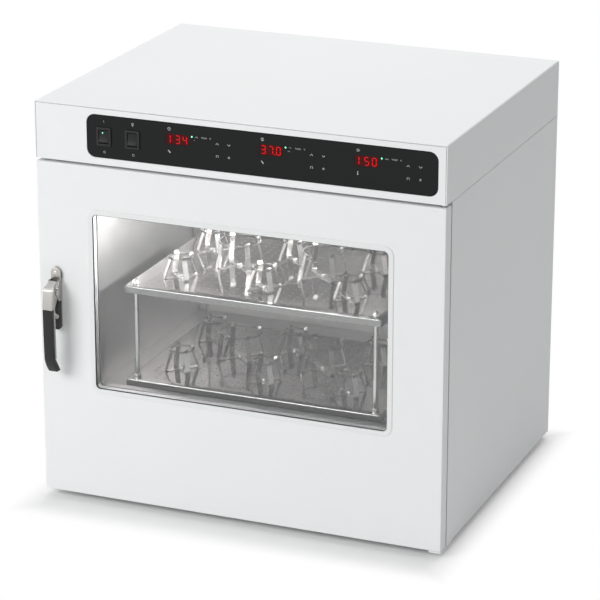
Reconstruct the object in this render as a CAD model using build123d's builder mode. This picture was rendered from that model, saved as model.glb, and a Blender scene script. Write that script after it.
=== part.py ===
from build123d import *
import os
from math import cos, radians, sin, sqrt

# Incubated benchtop shaker: a heated cabinet with a hinged window door, an orbital drive under the
# chamber floor, a two-tier platform with spring clamps, and a hood that holds the controls.
# Millimetres. X to the right, Y to the back, Z up; the origin is on the table, under the middle.

os.makedirs("parts", exist_ok=True)

# ---------------------------------------------------------------- overall sizes
width = 700.0
body_depth = 562.0  # front of the door to the back of the cabinet
foot_height = 12.0
cabinet_height = 576.0
hood_height = 94.4
seam_gap = 0.6  # between the cabinet and the hood
latch_reach = 39.5  # how far the door latch stands out in front
inlet_proud = 2.0  # how far the mains inlet stands out at the back

# ---------------------------------------------------------------- sheets and fits
shell_sheet = 1.5
liner_sheet = 1.2
bend_radius = 3.0
inset_gap = 0.8  # a plate set into a bent wrap
seat_gap = 0.3  # between pieces that are packed or clipped together
running_gap = 0.04  # radial clearance of a shaft in its bearing
press_gap = 0.01  # radial clearance of a bearing in its seat
weld_gap = 0.02  # between sheets that are welded edge to edge
top_flange = 16.0

# ---------------------------------------------------------------- chamber
chamber_width = 600.0
chamber_height = 384.0
chamber_depth = 469.0  # front frame to the air baffle
drive_bay_height = 156.0
fan_duct_depth = 28.0
liner_flange = 12.0

# ---------------------------------------------------------------- door
door_thickness = 23.0
door_top_gap = 5.0
door_bottom_gap = 1.0
door_edge_radius = 2.0
gasket_gap = 4.0
gasket_width = 12.0
gasket_margin = 2.0
gasket_lip = 4.0
window_width = 509.0
window_height = 299.0
window_sill = 193.0  # underside of the cabinet to the lower edge of the glass
window_centre_x = 2.5
window_corner = 8.0
trim_band = 8.6
trim_proud = 1.2
glass = 5.0
glass_overlap = 8.0
hinge_inset = 8.5
hinge_pin_radius = 3.5
hinge_bush_wall = 1.6
hinge_bush_length = 14.0
hinge_block_depth = 26.0
hinge_block_width = 16.0
hinge_bracket_sheet = 3.0
hinge_bracket_width = 22.0
hinge_bracket_length = 36.0  # behind the front frame

# ---------------------------------------------------------------- latch
latch_centre_x = -317.7
latch_width = 17.2
latch_height = 110.6
latch_foot = 289.0  # underside of the cabinet to the lower end of the latch
latch_body_depth = 12.0
latch_back_sheet = 3.0
latch_cheek = 2.0
latch_cover_height = 50.0
latch_pivot_out = 20.7  # pivot, in front of the door
latch_pivot_height = 363.4
latch_pin_radius = 1.6
latch_open_angle = 40.0
latch_tail_width = 4.0
latch_tail_height = 8.0
latch_nose = 4.0
latch_nose_length = 4.0
latch_grip_length = 112.0
latch_slot_gap = 1.5
keeper_sheet = 2.0
keeper_margin = 10.0
keeper_width = 15.0
keeper_pocket_depth = 14.0

# ---------------------------------------------------------------- hood and controls
front_plate = 2.0
panel_width = 592.0
panel_height = 69.5
panel_corner = 14.0
panel_centre_x = 39.0
panel_thickness = 3.0
panel_groove = 1.0
panel_flange = 6.0
panel_flange_sheet = 1.5
switch_xs = (-227.3, -177.3)
switch_width = 25.0
switch_height = 30.0
switch_bezel = 2.0
switch_body_width = 21.6
switch_body_height = 26.6
switch_body_depth = 24.0
rocker_width = 17.0
rocker_height = 22.0
rocker_tilt = 7.0
rocker_depth = 5.0
rocker_well = 12.0
rocker_pin_radius = 1.5
display_pitch = 159.0
first_display_x = -99.6
display_width = 38.2
display_height = 17.2
display_rise = 8.7  # above the middle of the panel
display_depth = 8.0
display_recess = 0.6
board_sheet = 1.6
deck_lip = 5.0
inlet_x = -250.0
inlet_flange_width = 50.0
inlet_flange_height = 26.0
inlet_width = 27.0
inlet_height = 19.6
inlet_depth = 26.0

# ---------------------------------------------------------------- platform
tray_width = 450.0
tray_depth = 316.0
tray_rim = 12.0
tray_sheet = 2.0
tray_edge_radius = 2.4
tray_front = 60.0  # front of the door to the front edge of the trays
lower_tray_height = 195.0  # underside of the cabinet to the top of the lower tray
tier_height = 162.0
post_radius = 4.0
post_inset = 14.5
post_nut_radius = 6.5
post_nut_height = 9.0
hole_pitch = 15.0  # the clamps stand on this grid of holes
small_places = [(-10.5, -5.5), (-0.5, -5.5), (9.5, -5.5), (-11, 4.5), (-1, 4.5), (9, 4.5)]  # in hole pitches
large_places = [(-6, 0.5), (4, 0.5)]
finger_sheet = 1.2
finger_width = 8.5
finger_bend = 3.0
finger_tip = 5.0
clamp_screw_radius = 4.6
clamp_screw_height = 3.5
spring_radius = 1.6
small_base_radius = 29.5
small_ring_radius = 19.0
small_ring_height = 35.0
large_base_radius = 41.0
large_ring_radius = 34.5
large_ring_height = 44.0

# ---------------------------------------------------------------- orbital drive
orbit_radius = 10.0
carriage_side_margin = 35.0  # the carriage stays inside the rim of the lower tray
carriage_front_margin = 30.0
carriage_sheet = 8.0
carriage_corner = 20.0
bearing_cup_height = 18.0
bearing_cup_wall = 5.0
chassis_sheet = 8.0
chassis_width = 390.0
chassis_depth = 290.0
chassis_top = 108.0  # above the underside of the cabinet
chassis_corner = 15.0
chassis_post_radius = 8.0
chassis_post_inset = 18.0
housing_height = 40.0
housing_flange = 9.0
housing_flange_sheet = 5.0
bearing_inset = 2.0
main_shaft_radius = 10.0
main_pin_radius = 7.5
main_web_radius = 26.0
main_bearing_wall = 11.0
idler_shaft_radius = 6.0
idler_pin_radius = 5.0
idler_web_radius = 21.0
idler_bearing_wall = 8.0
web_height = 8.0
web_lift = 3.0  # crank web above the chamber floor
seal_gap = 6.0  # shaft to the edge of the floor hole
seal_sheet = 2.0
idler_places = [(-150.0, -90.0), (150.0, -90.0), (0.0, 110.0)]
pulley_radius = 60.0
pulley_ratio = 3.0
belt_width = 12.0
belt_sheet = 2.5
belt_gap = 0.3
pulley_flange = 2.0
pulley_flange_rise = 3.5
pulley_bottom = 28.0  # above the underside of the cabinet
motor_x = 140.0
motor_radius = 44.0
motor_height = 48.0
motor_flange = 6.0
motor_shaft_radius = 5.0
weight_radius = 70.0
weight_height = 24.0
weight_hub_radius = 20.0
weight_lift = 8.0  # above the main pulley

# ---------------------------------------------------------------- air circulation
fan_height = 200.0  # above the chamber floor
fan_radius = 60.0
fan_blades = 8
fan_blade_height = 14.0
fan_blade_sheet = 1.2
fan_back_sheet = 1.5
fan_clearance = 4.0
fan_shaft_radius = 3.0
fan_motor_radius = 36.0
heater_radius = 78.0
heater_tube_radius = 3.2
heater_opening = 40.0  # degrees left open between the two legs
baffle_sheet = 1.2
baffle_gap = 2.0
baffle_air_gap = 30.0
grille_slot = 7.0
grille_slots = 7
probe_radius = 2.5
probe_reach = 45.0
probe_x = 215.0
probe_height = 320.0

# ---------------------------------------------------------------- feet
foot_radius = 18.0
foot_taper = 2.0
foot_inset = 52.0
foot_recess_radius = 6.0
foot_recess_depth = 6.0

# ---------------------------------------------------------------- levels and places worked out from the sizes
half_width = width / 2
carriage_width = tray_width - 2 * carriage_side_margin
carriage_depth = tray_depth - 2 * carriage_front_margin
z_base = foot_height
z_seam = z_base + cabinet_height
z_hood = z_seam + seam_gap
z_top = z_hood + hood_height
z_floor = z_base + drive_bay_height
z_ceiling = z_floor + chamber_height
z_chamber = (z_floor + z_ceiling) / 2
z_panel = (z_hood + z_top) / 2

y_door = latch_reach - (latch_reach + body_depth + inlet_proud) / 2
y_frame = y_door + door_thickness + gasket_gap
y_liner = y_frame + shell_sheet
y_rear = y_door + body_depth
y_rear_inside = y_rear - shell_sheet
y_baffle = y_frame + chamber_depth
y_duct_back = y_baffle + fan_duct_depth

z_door_bottom = z_base + door_bottom_gap
z_door_top = z_hood - door_top_gap
z_door = (z_door_bottom + z_door_top) / 2
door_height = z_door_top - z_door_bottom
z_window = z_base + window_sill + window_height / 2
hinge_x = half_width - hinge_inset
hinge_y = y_door + door_thickness / 2

y_tray = y_door + tray_front + tray_depth / 2
y_shaft = y_tray + orbit_radius
z_lower_tray = z_base + lower_tray_height
z_upper_tray = z_lower_tray + tier_height
z_carriage = z_lower_tray - tray_sheet - carriage_sheet
z_cup = z_carriage + carriage_sheet - bearing_cup_height
z_web = z_floor + web_lift
z_chassis = z_base + chassis_top
z_housing = z_chassis + chassis_sheet
z_pulley = z_base + pulley_bottom
pulley_height = belt_width + 2 * pulley_flange + 2
z_belt = z_pulley + pulley_flange + 1
z_weight = z_pulley + pulley_height + weight_lift
z_fan = z_floor + fan_height


def facing_front(y):
    """A plane across the object that looks to the front: its x is X and its y is Z."""
    return Plane(origin=(0, y, 0), x_dir=(1, 0, 0), z_dir=(0, -1, 0))


def facing_right(x):
    """A plane along the object that looks to the right: its x is Y and its y is Z."""
    return Plane(origin=(x, 0, 0), x_dir=(0, 1, 0), z_dir=(1, 0, 0))


# ================================================================ cabinet
shell_depth = y_rear_inside - y_frame

with BuildPart() as outer_shell:
    with BuildSketch(facing_front(y_frame)):
        with BuildLine():
            FilletPolyline(
                (-half_width + top_flange, z_seam),
                (-half_width, z_seam),
                (-half_width, z_base),
                (half_width, z_base),
                (half_width, z_seam),
                (half_width - top_flange, z_seam),
                radius=bend_radius,
            )
            offset(amount=shell_sheet, side=Side.LEFT)
        make_face()
    extrude(amount=-shell_depth)

outer_shell.part.label = "outer_shell"
export_step(outer_shell.part, "parts/outer_shell.step")

# Latch slots: the tail of the lever swings down through the door and the front frame.
z_latch_pivot = z_base + latch_pivot_height
y_latch_pivot = y_door - latch_pivot_out
latch_tail_reach = y_frame + shell_sheet + keeper_sheet + latch_nose_length + 1 - y_latch_pivot
latch_drop = latch_tail_reach * sin(radians(latch_open_angle))
frame_drop = sqrt(latch_tail_reach**2 - (y_frame - y_latch_pivot) ** 2)
latch_slot_width = latch_tail_width + 2 * latch_slot_gap
z_latch_slot_top = z_latch_pivot + latch_tail_height / 2 + latch_nose + 0.8
z_door_slot_bottom = z_latch_pivot - latch_drop - latch_tail_height / 2 - latch_slot_gap
z_frame_slot_bottom = z_latch_pivot - frame_drop - latch_tail_height - latch_slot_gap


def slot_between(z_low, z_high, slot_width):
    """The latch slot as a rectangle, in a sketch that faces the front."""
    with Locations((latch_centre_x, (z_low + z_high) / 2)):
        Rectangle(slot_width, z_high - z_low, mode=Mode.SUBTRACT)


# Front frame, set into the shell: the land that the door gasket closes on.
frame_width = width - 2 * (shell_sheet + inset_gap)
z_frame_bottom = z_base + shell_sheet + inset_gap
z_frame_top = z_seam - shell_sheet - inset_gap

with BuildPart() as front_frame:
    with BuildSketch(facing_front(y_frame)):
        with Locations((0, (z_frame_bottom + z_frame_top) / 2)):
            Rectangle(frame_width, z_frame_top - z_frame_bottom)
        with Locations((0, z_chamber)):
            Rectangle(chamber_width, chamber_height, mode=Mode.SUBTRACT)
        slot_between(z_frame_slot_bottom, z_latch_slot_top, latch_slot_width)
    extrude(amount=-shell_sheet)

front_frame.part.label = "front_frame"
export_step(front_frame.part, "parts/front_frame.step")

# Keeper behind the frame: the edge that the latch nose stands behind.
keeper_x = -(chamber_width / 2 + liner_flange + seat_gap + keeper_width / 2)

with BuildPart() as latch_keeper:
    with BuildSketch(facing_front(y_liner)):
        with Locations((keeper_x, (z_frame_slot_bottom + z_latch_slot_top) / 2)):
            Rectangle(keeper_width, z_latch_slot_top - z_frame_slot_bottom + 2 * keeper_margin)
        slot_between(z_frame_slot_bottom, z_latch_slot_top, latch_slot_width)
    extrude(amount=-keeper_sheet)

latch_keeper.part.label = "latch_keeper"
export_step(latch_keeper.part, "parts/latch_keeper.step")

# Chamber liner: flat sheets welded edge to edge, with flanges behind the front frame.
crank_places = [(0.0, 0.0)] + idler_places
crank_centres = [(x, y_shaft + y) for x, y in crank_places]
shaft_radii = [main_shaft_radius] + [idler_shaft_radius] * len(idler_places)
heater_leg_angles = (-90 - heater_opening / 2, -90 + heater_opening / 2)
heater_leg_places = [
    (heater_radius * cos(radians(angle)), z_fan + heater_radius * sin(radians(angle)))
    for angle in heater_leg_angles
]

liner_depth = y_duct_back + liner_sheet - y_liner
flange_strip = liner_flange - liner_sheet - weld_gap
flange_middle = liner_sheet + weld_gap + flange_strip / 2

with BuildPart() as chamber_liner:
    # Back sheet with the holes for the fan shaft, the heater legs and the probe.
    with BuildSketch(facing_front(y_duct_back)):
        with Locations((0, z_chamber)):
            Rectangle(chamber_width - 2 * weld_gap, chamber_height - 2 * weld_gap)
        with Locations((0, z_fan)):
            Circle(fan_shaft_radius + 2, mode=Mode.SUBTRACT)
        with Locations(*heater_leg_places):
            Circle(heater_tube_radius + seat_gap, mode=Mode.SUBTRACT)
        with Locations((probe_x, z_floor + probe_height)):
            Circle(probe_radius + seat_gap, mode=Mode.SUBTRACT)
    extrude(amount=-liner_sheet)
    # Floor sheet with the holes for the four crank shafts, and the ceiling sheet.
    for level, (holes, rise) in zip((z_floor, z_ceiling), ((crank_centres, -liner_sheet), ([], liner_sheet))):
        with BuildSketch(Plane.XY.offset(level)):
            with Locations((0, y_liner + liner_depth / 2)):
                Rectangle(chamber_width - 2 * weld_gap, liner_depth)
            for centre, shaft_radius in zip(holes, shaft_radii):
                with Locations(centre):
                    Circle(shaft_radius + seal_gap, mode=Mode.SUBTRACT)
        extrude(amount=rise)
    # Side sheets, which run past the ends of the other three.
    for sheet_left in (-chamber_width / 2 - liner_sheet, chamber_width / 2):
        with BuildSketch(facing_right(sheet_left)):
            with Locations((y_liner + liner_depth / 2, z_chamber)):
                Rectangle(liner_depth, chamber_height + 2 * liner_sheet)
        extrude(amount=liner_sheet)
    # Flange strips below, above and on both sides of the mouth.
    with BuildSketch(facing_front(y_liner)):
        with Locations((0, z_floor - flange_middle), (0, z_ceiling + flange_middle)):
            Rectangle(chamber_width + 2 * liner_sheet, flange_strip)
        with GridLocations(chamber_width + 2 * flange_middle, 0, 2, 1):
            with Locations((0, z_chamber)):
                Rectangle(flange_strip, chamber_height + 2 * liner_flange)
    extrude(amount=-liner_sheet)

chamber_liner.part.label = "chamber_liner"
export_step(chamber_liner.part, "parts/chamber_liner.step")

# Insulation slabs between the liner and the shell: two sides, top, back and floor.
slab_front = y_liner + liner_sheet + seat_gap
slab_back = y_rear_inside - seat_gap
slab_middle_y = (slab_front + slab_back) / 2
slab_length = slab_back - slab_front
shell_inner_x = half_width - shell_sheet - seat_gap
liner_outer_x = chamber_width / 2 + liner_sheet + seat_gap
side_slab_x = (shell_inner_x + liner_outer_x) / 2
side_slab = shell_inner_x - liner_outer_x
top_slab_low = z_ceiling + liner_sheet + seat_gap
top_slab_high = z_seam - shell_sheet - seat_gap
rear_slab_front = y_duct_back + liner_sheet + seat_gap
rear_slab = slab_back - rear_slab_front
housing_radii = [radius + wall + bearing_cup_wall for radius, wall in
                 [(main_shaft_radius, main_bearing_wall)]
                 + [(idler_shaft_radius, idler_bearing_wall)] * len(idler_places)]
floor_slab = 8.0

with BuildPart() as insulation:
    with Locations((side_slab_x, slab_middle_y, z_chamber), (-side_slab_x, slab_middle_y, z_chamber)):
        Box(side_slab, slab_length, chamber_height)
    with Locations((0, slab_middle_y, (top_slab_low + top_slab_high) / 2)):
        Box(2 * (shell_inner_x - bend_radius), slab_length, top_slab_high - top_slab_low)
    with Locations((0, rear_slab_front + rear_slab / 2, z_chamber)):
        Box(2 * liner_outer_x - 4 * seat_gap, rear_slab, chamber_height)
    with BuildSketch(facing_front(rear_slab_front)):
        with Locations((0, z_fan)):
            Rectangle(2 * fan_motor_radius + 2, 2 * fan_motor_radius + 2)
        with Locations(*heater_leg_places):
            Rectangle(2 * heater_tube_radius + 2, 2 * heater_tube_radius + 2)
        with Locations((probe_x, z_floor + probe_height)):
            Rectangle(2 * probe_radius + 2, 2 * probe_radius + 2)
    extrude(amount=-rear_slab, mode=Mode.SUBTRACT)
    with Locations((-side_slab_x, y_liner + keeper_pocket_depth / 2, (z_frame_slot_bottom + z_latch_slot_top) / 2)):
        Box(
            side_slab + 1,
            keeper_pocket_depth + liner_sheet,
            z_latch_slot_top - z_frame_slot_bottom + 3 * keeper_margin,
            mode=Mode.SUBTRACT,
        )
    with BuildSketch(Plane.XY.offset(z_floor - liner_sheet - seat_gap - floor_slab)):
        with Locations((0, (slab_front + y_duct_back) / 2)):
            Rectangle(chamber_width, y_duct_back - slab_front)
        for (x, y), housing_radius in zip(crank_centres, housing_radii):
            with Locations((x, y)):
                Rectangle(2 * housing_radius, 2 * housing_radius, mode=Mode.SUBTRACT)
    extrude(amount=floor_slab)

insulation.part.label = "insulation"
export_step(insulation.part, "parts/insulation.step")

# Deck: closes the cabinet under the hood, runs out over the door and carries the electronics.
deck_front = y_door + front_plate + seat_gap
deck_half_width = half_width - shell_sheet - seat_gap

with BuildPart() as deck_plate:
    with BuildSketch(facing_right(-deck_half_width)):
        with BuildLine():
            Polyline(
                (deck_front, z_seam + deck_lip),
                (deck_front, z_seam),
                (y_rear_inside - seat_gap, z_seam),
                (y_rear_inside - seat_gap, z_seam + deck_lip),
            )
            offset(amount=shell_sheet, side=Side.LEFT)
        make_face()
    extrude(amount=2 * deck_half_width)
    with Locations((hinge_x, hinge_y, z_seam + shell_sheet)):
        Hole(radius=hinge_pin_radius + press_gap, depth=2 * shell_sheet)

deck_plate.part.label = "deck_plate"
export_step(deck_plate.part, "parts/deck_plate.step")

# Rubber feet, recessed underneath for the heads of their screws.
foot_places = [
    (sx * (half_width - foot_inset), y)
    for sx in (-1, 1)
    for y in (y_frame + foot_inset, y_rear - foot_inset)
]

with BuildPart() as rubber_feet:
    with Locations(*[(x, y, 0) for x, y in foot_places]):
        Cone(foot_radius - foot_taper, foot_radius, foot_height, align=(Align.CENTER, Align.CENTER, Align.MIN))
    with BuildSketch(Plane.XY):
        with Locations(*foot_places):
            RegularPolygon(foot_recess_radius, 6)
    extrude(amount=foot_recess_depth, mode=Mode.SUBTRACT)

rubber_feet.part.label = "rubber_feet"
export_step(rubber_feet.part, "parts/rubber_feet.step")

# ================================================================ hood
with BuildPart() as hood_cover:
    with BuildSketch(facing_front(y_door)):
        with BuildLine():
            FilletPolyline(
                (-half_width, z_hood),
                (-half_width, z_top),
                (half_width, z_top),
                (half_width, z_hood),
                radius=bend_radius,
            )
            offset(amount=shell_sheet, side=Side.RIGHT)
        make_face()
    extrude(amount=-(y_rear_inside - y_door))

hood_cover.part.label = "hood_cover"
export_step(hood_cover.part, "parts/hood_cover.step")

# Front plate, set into the hood, open behind the control panel.
plate_width = width - 2 * (shell_sheet + inset_gap)
plate_height = hood_height - shell_sheet - inset_gap
panel_open_width = panel_width + 2 * panel_groove
panel_open_height = panel_height + 2 * panel_groove

with BuildPart() as hood_front_plate:
    with BuildSketch(facing_front(y_door)):
        with Locations((0, z_hood + plate_height / 2)):
            Rectangle(plate_width, plate_height)
        with Locations((panel_centre_x, z_panel)):
            RectangleRounded(panel_open_width, panel_open_height, panel_corner + panel_groove, mode=Mode.SUBTRACT)
    extrude(amount=-front_plate)

hood_front_plate.part.label = "hood_front_plate"
export_step(hood_front_plate.part, "parts/hood_front_plate.step")

# Control panel: one moulded face that fills the opening, with a flange behind the plate.
display_places = [(first_display_x + i * display_pitch, z_panel + display_rise) for i in range(3)]
switch_places = [(x, z_panel) for x in switch_xs]
y_panel_flange = y_door + front_plate + 0.05

with BuildPart() as control_panel:
    with BuildSketch(facing_front(y_door)):
        with Locations((panel_centre_x, z_panel)):
            RectangleRounded(panel_width, panel_height, panel_corner)
    extrude(amount=-panel_thickness)
    with BuildSketch(facing_front(y_panel_flange)):
        with Locations((panel_centre_x, z_panel)):
            RectangleRounded(
                panel_open_width + 2 * panel_flange, panel_open_height + 2 * panel_flange, panel_corner
            )
    extrude(amount=-panel_flange_sheet)
    with BuildSketch(facing_front(y_door)):
        with Locations(*display_places):
            Rectangle(display_width, display_height)
        with Locations(*switch_places):
            Rectangle(switch_body_width + 2 * seat_gap, switch_body_height + 2 * seat_gap)
    extrude(amount=-2 * panel_thickness, mode=Mode.SUBTRACT)

control_panel.part.label = "control_panel"
export_step(control_panel.part, "parts/control_panel.step")

# Three-digit displays behind the panel openings.
with BuildPart() as display_modules:
    with BuildSketch(facing_front(y_door + display_recess)):
        with Locations(*display_places):
            Rectangle(display_width - seat_gap, display_height - seat_gap)
    extrude(amount=-display_depth)

display_modules.part.label = "display_modules"
export_step(display_modules.part, "parts/display_modules.step")

# Control board that carries the displays, with its components as low blocks.
board_left = first_display_x - display_width / 2 - 14
board_right = first_display_x + 2 * display_pitch + display_width + 52
board_y = y_door + display_recess + display_depth
board_height = panel_height - 12

with BuildPart() as control_board:
    with BuildSketch(facing_front(board_y)):
        with Locations(((board_left + board_right) / 2, z_panel)):
            Rectangle(board_right - board_left, board_height)
    extrude(amount=-board_sheet)
    with BuildSketch(facing_front(board_y + board_sheet)):
        with Locations(((board_left + board_right) / 2, z_panel)):
            with GridLocations(display_pitch, 0, 3, 1):
                Rectangle(24, 18)
    extrude(amount=-4)
    # Spacers that hold the board off the panel.
    with BuildSketch(facing_front(y_panel_flange + panel_flange_sheet)):
        with Locations(((board_left + board_right) / 2, z_panel - board_height / 2 + 5)):
            with GridLocations((board_right - board_left - 14) / 3, 0, 4, 1):
                Rectangle(6, 6)
    extrude(amount=-(board_y - y_panel_flange - panel_flange_sheet))

control_board.part.label = "control_board"
export_step(control_board.part, "parts/control_board.step")

# Rocker switches: a bezel and body with an open well, and a rocker on its trunnion pins.
y_bezel = y_door - switch_bezel
y_rocker_pin = y_door + 1.5
switch_centre_z = z_panel

with BuildPart() as switch_housings:
    with BuildSketch(facing_front(y_bezel)):
        with Locations(*switch_places):
            RectangleRounded(switch_width, switch_height, 2)
    extrude(amount=-switch_bezel)
    with BuildSketch(facing_front(y_door)):
        with Locations(*switch_places):
            Rectangle(switch_body_width, switch_body_height)
    extrude(amount=-switch_body_depth)
    with BuildSketch(facing_front(y_bezel)):
        with Locations(*switch_places):
            Rectangle(rocker_width + 2 * seat_gap, rocker_height + 4 * seat_gap)
    extrude(amount=-(switch_bezel + rocker_well), mode=Mode.SUBTRACT)
    for x, z in switch_places:
        with BuildSketch(facing_right(x - switch_body_width / 2)):
            with Locations((y_rocker_pin, z)):
                Circle(rocker_pin_radius + running_gap)
        extrude(amount=switch_body_width, mode=Mode.SUBTRACT)

switch_housings.part.label = "switch_housings"
export_step(switch_housings.part, "parts/switch_housings.step")


def rocker_on(x, z):
    """A two-faced rocker at rest with its top pressed in, its pins along X."""
    half = rocker_height / 2
    reach = y_rocker_pin - y_bezel
    with BuildPart() as rocker:
        with BuildSketch(Plane(origin=(x - rocker_width / 2, y_rocker_pin, z), x_dir=(0, 1, 0), z_dir=(1, 0, 0))):
            with BuildLine():
                Polyline(
                    (-reach, half - 1),
                    (-reach + 1.6, 0),
                    (-reach, -half + 1),
                    (rocker_depth - reach, -half + 1.5),
                    (rocker_depth, -3),
                    (rocker_depth, 3),
                    (rocker_depth - reach, half - 1.5),
                    close=True,
                )
            make_face()
        extrude(amount=rocker_width)
        with Locations(Plane(origin=(x, y_rocker_pin, z), z_dir=(1, 0, 0))):
            Cylinder(rocker_pin_radius, switch_body_width - 1)
    return rocker.part.rotate(Axis((x, y_rocker_pin, z), (1, 0, 0)), -rocker_tilt)


with BuildPart() as mains_rocker:
    add(rocker_on(*switch_places[0]))

mains_rocker.part.label = "mains_rocker"
export_step(mains_rocker.part, "parts/mains_rocker.step")

with BuildPart() as lamp_rocker:
    add(rocker_on(*switch_places[1]))

lamp_rocker.part.label = "lamp_rocker"
export_step(lamp_rocker.part, "parts/lamp_rocker.step")

# Rear panels, laid over the open backs of the shell and the hood, with air slots for the drive bay
# and the electronics and an opening for the mains inlet.
vent_slot_width = 5.0
vent_slot_height = 46.0
vent_pitch = 14.0
vent_count = 9
vent_x = 190.0
z_vents = z_base + drive_bay_height / 2

with BuildPart() as rear_panels:
    with BuildSketch(facing_front(y_rear_inside)):
        with Locations((0, (z_base + z_seam) / 2)):
            Rectangle(width - 2 * seat_gap, cabinet_height - 2 * seat_gap)
        with Locations((0, z_panel)):
            Rectangle(width - 2 * seat_gap, hood_height - 2 * seat_gap)
        with Locations((-vent_x, z_vents), (vent_x, z_vents), (vent_x, z_panel)):
            with GridLocations(vent_pitch, 0, vent_count, 1):
                Rectangle(vent_slot_width, vent_slot_height, mode=Mode.SUBTRACT)
        with Locations((inlet_x, z_panel)):
            Rectangle(inlet_width + 2 * seat_gap, inlet_height + 2 * seat_gap, mode=Mode.SUBTRACT)
    extrude(amount=-shell_sheet)

rear_panels.part.label = "rear_panels"
export_step(rear_panels.part, "parts/rear_panels.step")

inlet_wall = 2.0
inlet_pin_width = 2.0
inlet_pin_height = 4.0
inlet_pin_pitch = 7.0

with BuildPart() as power_inlet:
    with BuildSketch(facing_front(y_rear)):
        with Locations((inlet_x, z_panel)):
            RectangleRounded(inlet_flange_width, inlet_flange_height, 4)
    extrude(amount=-inlet_proud)
    with BuildSketch(facing_front(y_rear)):
        with Locations((inlet_x, z_panel)):
            Rectangle(inlet_width, inlet_height)
    extrude(amount=inlet_depth)
    with BuildSketch(facing_front(y_rear + inlet_proud)):
        with Locations((inlet_x, z_panel)):
            Rectangle(inlet_width - 2 * inlet_wall, inlet_height - 2 * inlet_wall)
    extrude(amount=inlet_proud + inlet_depth - 2 * inlet_wall, mode=Mode.SUBTRACT)
    with BuildSketch(facing_front(y_rear - inlet_depth + inlet_wall)):
        with Locations(
            (inlet_x - inlet_pin_pitch, z_panel),
            (inlet_x, z_panel + 3),
            (inlet_x + inlet_pin_pitch, z_panel),
        ):
            Rectangle(inlet_pin_width, inlet_pin_height)
    extrude(amount=-(inlet_depth - 2 * inlet_wall))

power_inlet.part.label = "power_inlet"
export_step(power_inlet.part, "parts/power_inlet.step")

# Power supply: a finned heat sink and its case, standing on the deck.
supply_width = 180.0
supply_depth = 110.0
supply_case_height = 38.0
fin_sheet = 2.0
fin_height = 16.0
fin_count = 9
supply_y = y_rear - 130.0
z_deck_top = z_seam + shell_sheet

with BuildPart() as power_supply:
    with BuildSketch(Plane.XY.offset(z_deck_top)):
        with Locations((-120, supply_y)):
            Rectangle(supply_width, supply_depth)
    extrude(amount=supply_case_height)
    with BuildSketch(Plane.XY.offset(z_deck_top + supply_case_height)):
        with Locations((-120, supply_y)):
            with GridLocations(supply_width / fin_count, 0, fin_count, 1):
                Rectangle(fin_sheet, supply_depth - 10)
    extrude(amount=fin_height)

power_supply.part.label = "power_supply"
export_step(power_supply.part, "parts/power_supply.step")

# ================================================================ door
inner_sheet = shell_sheet
skin_depth = door_thickness - inner_sheet
y_inner_panel = y_door + skin_depth
glass_width = window_width + 2 * glass_overlap
glass_height = window_height + 2 * glass_overlap
spacer_depth = skin_depth - shell_sheet - 2 * glass
hinge_hole = hinge_pin_radius + hinge_bush_wall + 0.5

with BuildPart() as door_skin:
    with BuildSketch(facing_front(y_door)):
        with Locations((0, z_door)):
            Rectangle(width, door_height)
    extrude(amount=-skin_depth)
    fillet(
        door_skin.faces().sort_by(Axis.Y)[0].edges() + door_skin.edges().filter_by(Axis.Y),
        radius=door_edge_radius,
    )
    with BuildSketch(facing_front(y_door + shell_sheet)):
        with Locations((0, z_door)):
            Rectangle(width - 2 * shell_sheet, door_height - 2 * shell_sheet)
    extrude(amount=-skin_depth, mode=Mode.SUBTRACT)
    with BuildSketch(facing_front(y_door)):
        with Locations((window_centre_x, z_window)):
            RectangleRounded(window_width, window_height, window_corner)
    extrude(amount=-shell_sheet, mode=Mode.SUBTRACT)
    with BuildSketch(facing_front(y_door)) as latch_cut:
        with Locations((latch_centre_x, (z_door_slot_bottom + z_latch_slot_top) / 2)):
            Rectangle(latch_slot_width, z_latch_slot_top - z_door_slot_bottom)
    extrude(amount=-shell_sheet, mode=Mode.SUBTRACT)
    with Locations((hinge_x, hinge_y, z_door_top)):
        Hole(radius=hinge_hole, depth=door_height)

door_skin.part.label = "door_skin"
export_step(door_skin.part, "parts/door_skin.step")

with BuildPart() as door_inner_panel:
    with BuildSketch(facing_front(y_inner_panel)):
        with Locations((0, z_door)):
            RectangleRounded(width - 2 * seat_gap, door_height - 2 * seat_gap, door_edge_radius)
        with Locations((window_centre_x, z_window)):
            RectangleRounded(window_width, window_height, window_corner, mode=Mode.SUBTRACT)
        slot_between(z_door_slot_bottom, z_latch_slot_top, latch_slot_width)
    extrude(amount=-inner_sheet)

door_inner_panel.part.label = "door_inner_panel"
export_step(door_inner_panel.part, "parts/door_inner_panel.step")

with BuildPart() as window_trim:
    with BuildSketch(facing_front(y_door - trim_proud)):
        with Locations((window_centre_x, z_window)):
            RectangleRounded(
                window_width + 2 * trim_band, window_height + 2 * trim_band, window_corner + trim_band
            )
            RectangleRounded(window_width, window_height, window_corner, mode=Mode.SUBTRACT)
    extrude(amount=-trim_proud)
    chamfer(window_trim.faces().sort_by(Axis.Y)[0].outer_wire().edges(), length=trim_proud * 0.6)

window_trim.part.label = "window_trim"
export_step(window_trim.part, "parts/window_trim.step")

with BuildPart() as window_panes:
    for y in (y_door + shell_sheet, y_door + shell_sheet + glass + spacer_depth):
        with BuildSketch(facing_front(y)):
            with Locations((window_centre_x, z_window)):
                Rectangle(glass_width, glass_height)
        extrude(amount=-glass)

window_panes.part.label = "window_panes"
export_step(window_panes.part, "parts/window_panes.step")

with BuildPart() as glass_spacer:
    with BuildSketch(facing_front(y_door + shell_sheet + glass)):
        with Locations((window_centre_x, z_window)):
            Rectangle(glass_width, glass_height)
            RectangleRounded(window_width, window_height, window_corner, mode=Mode.SUBTRACT)
    extrude(amount=-spacer_depth)

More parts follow.
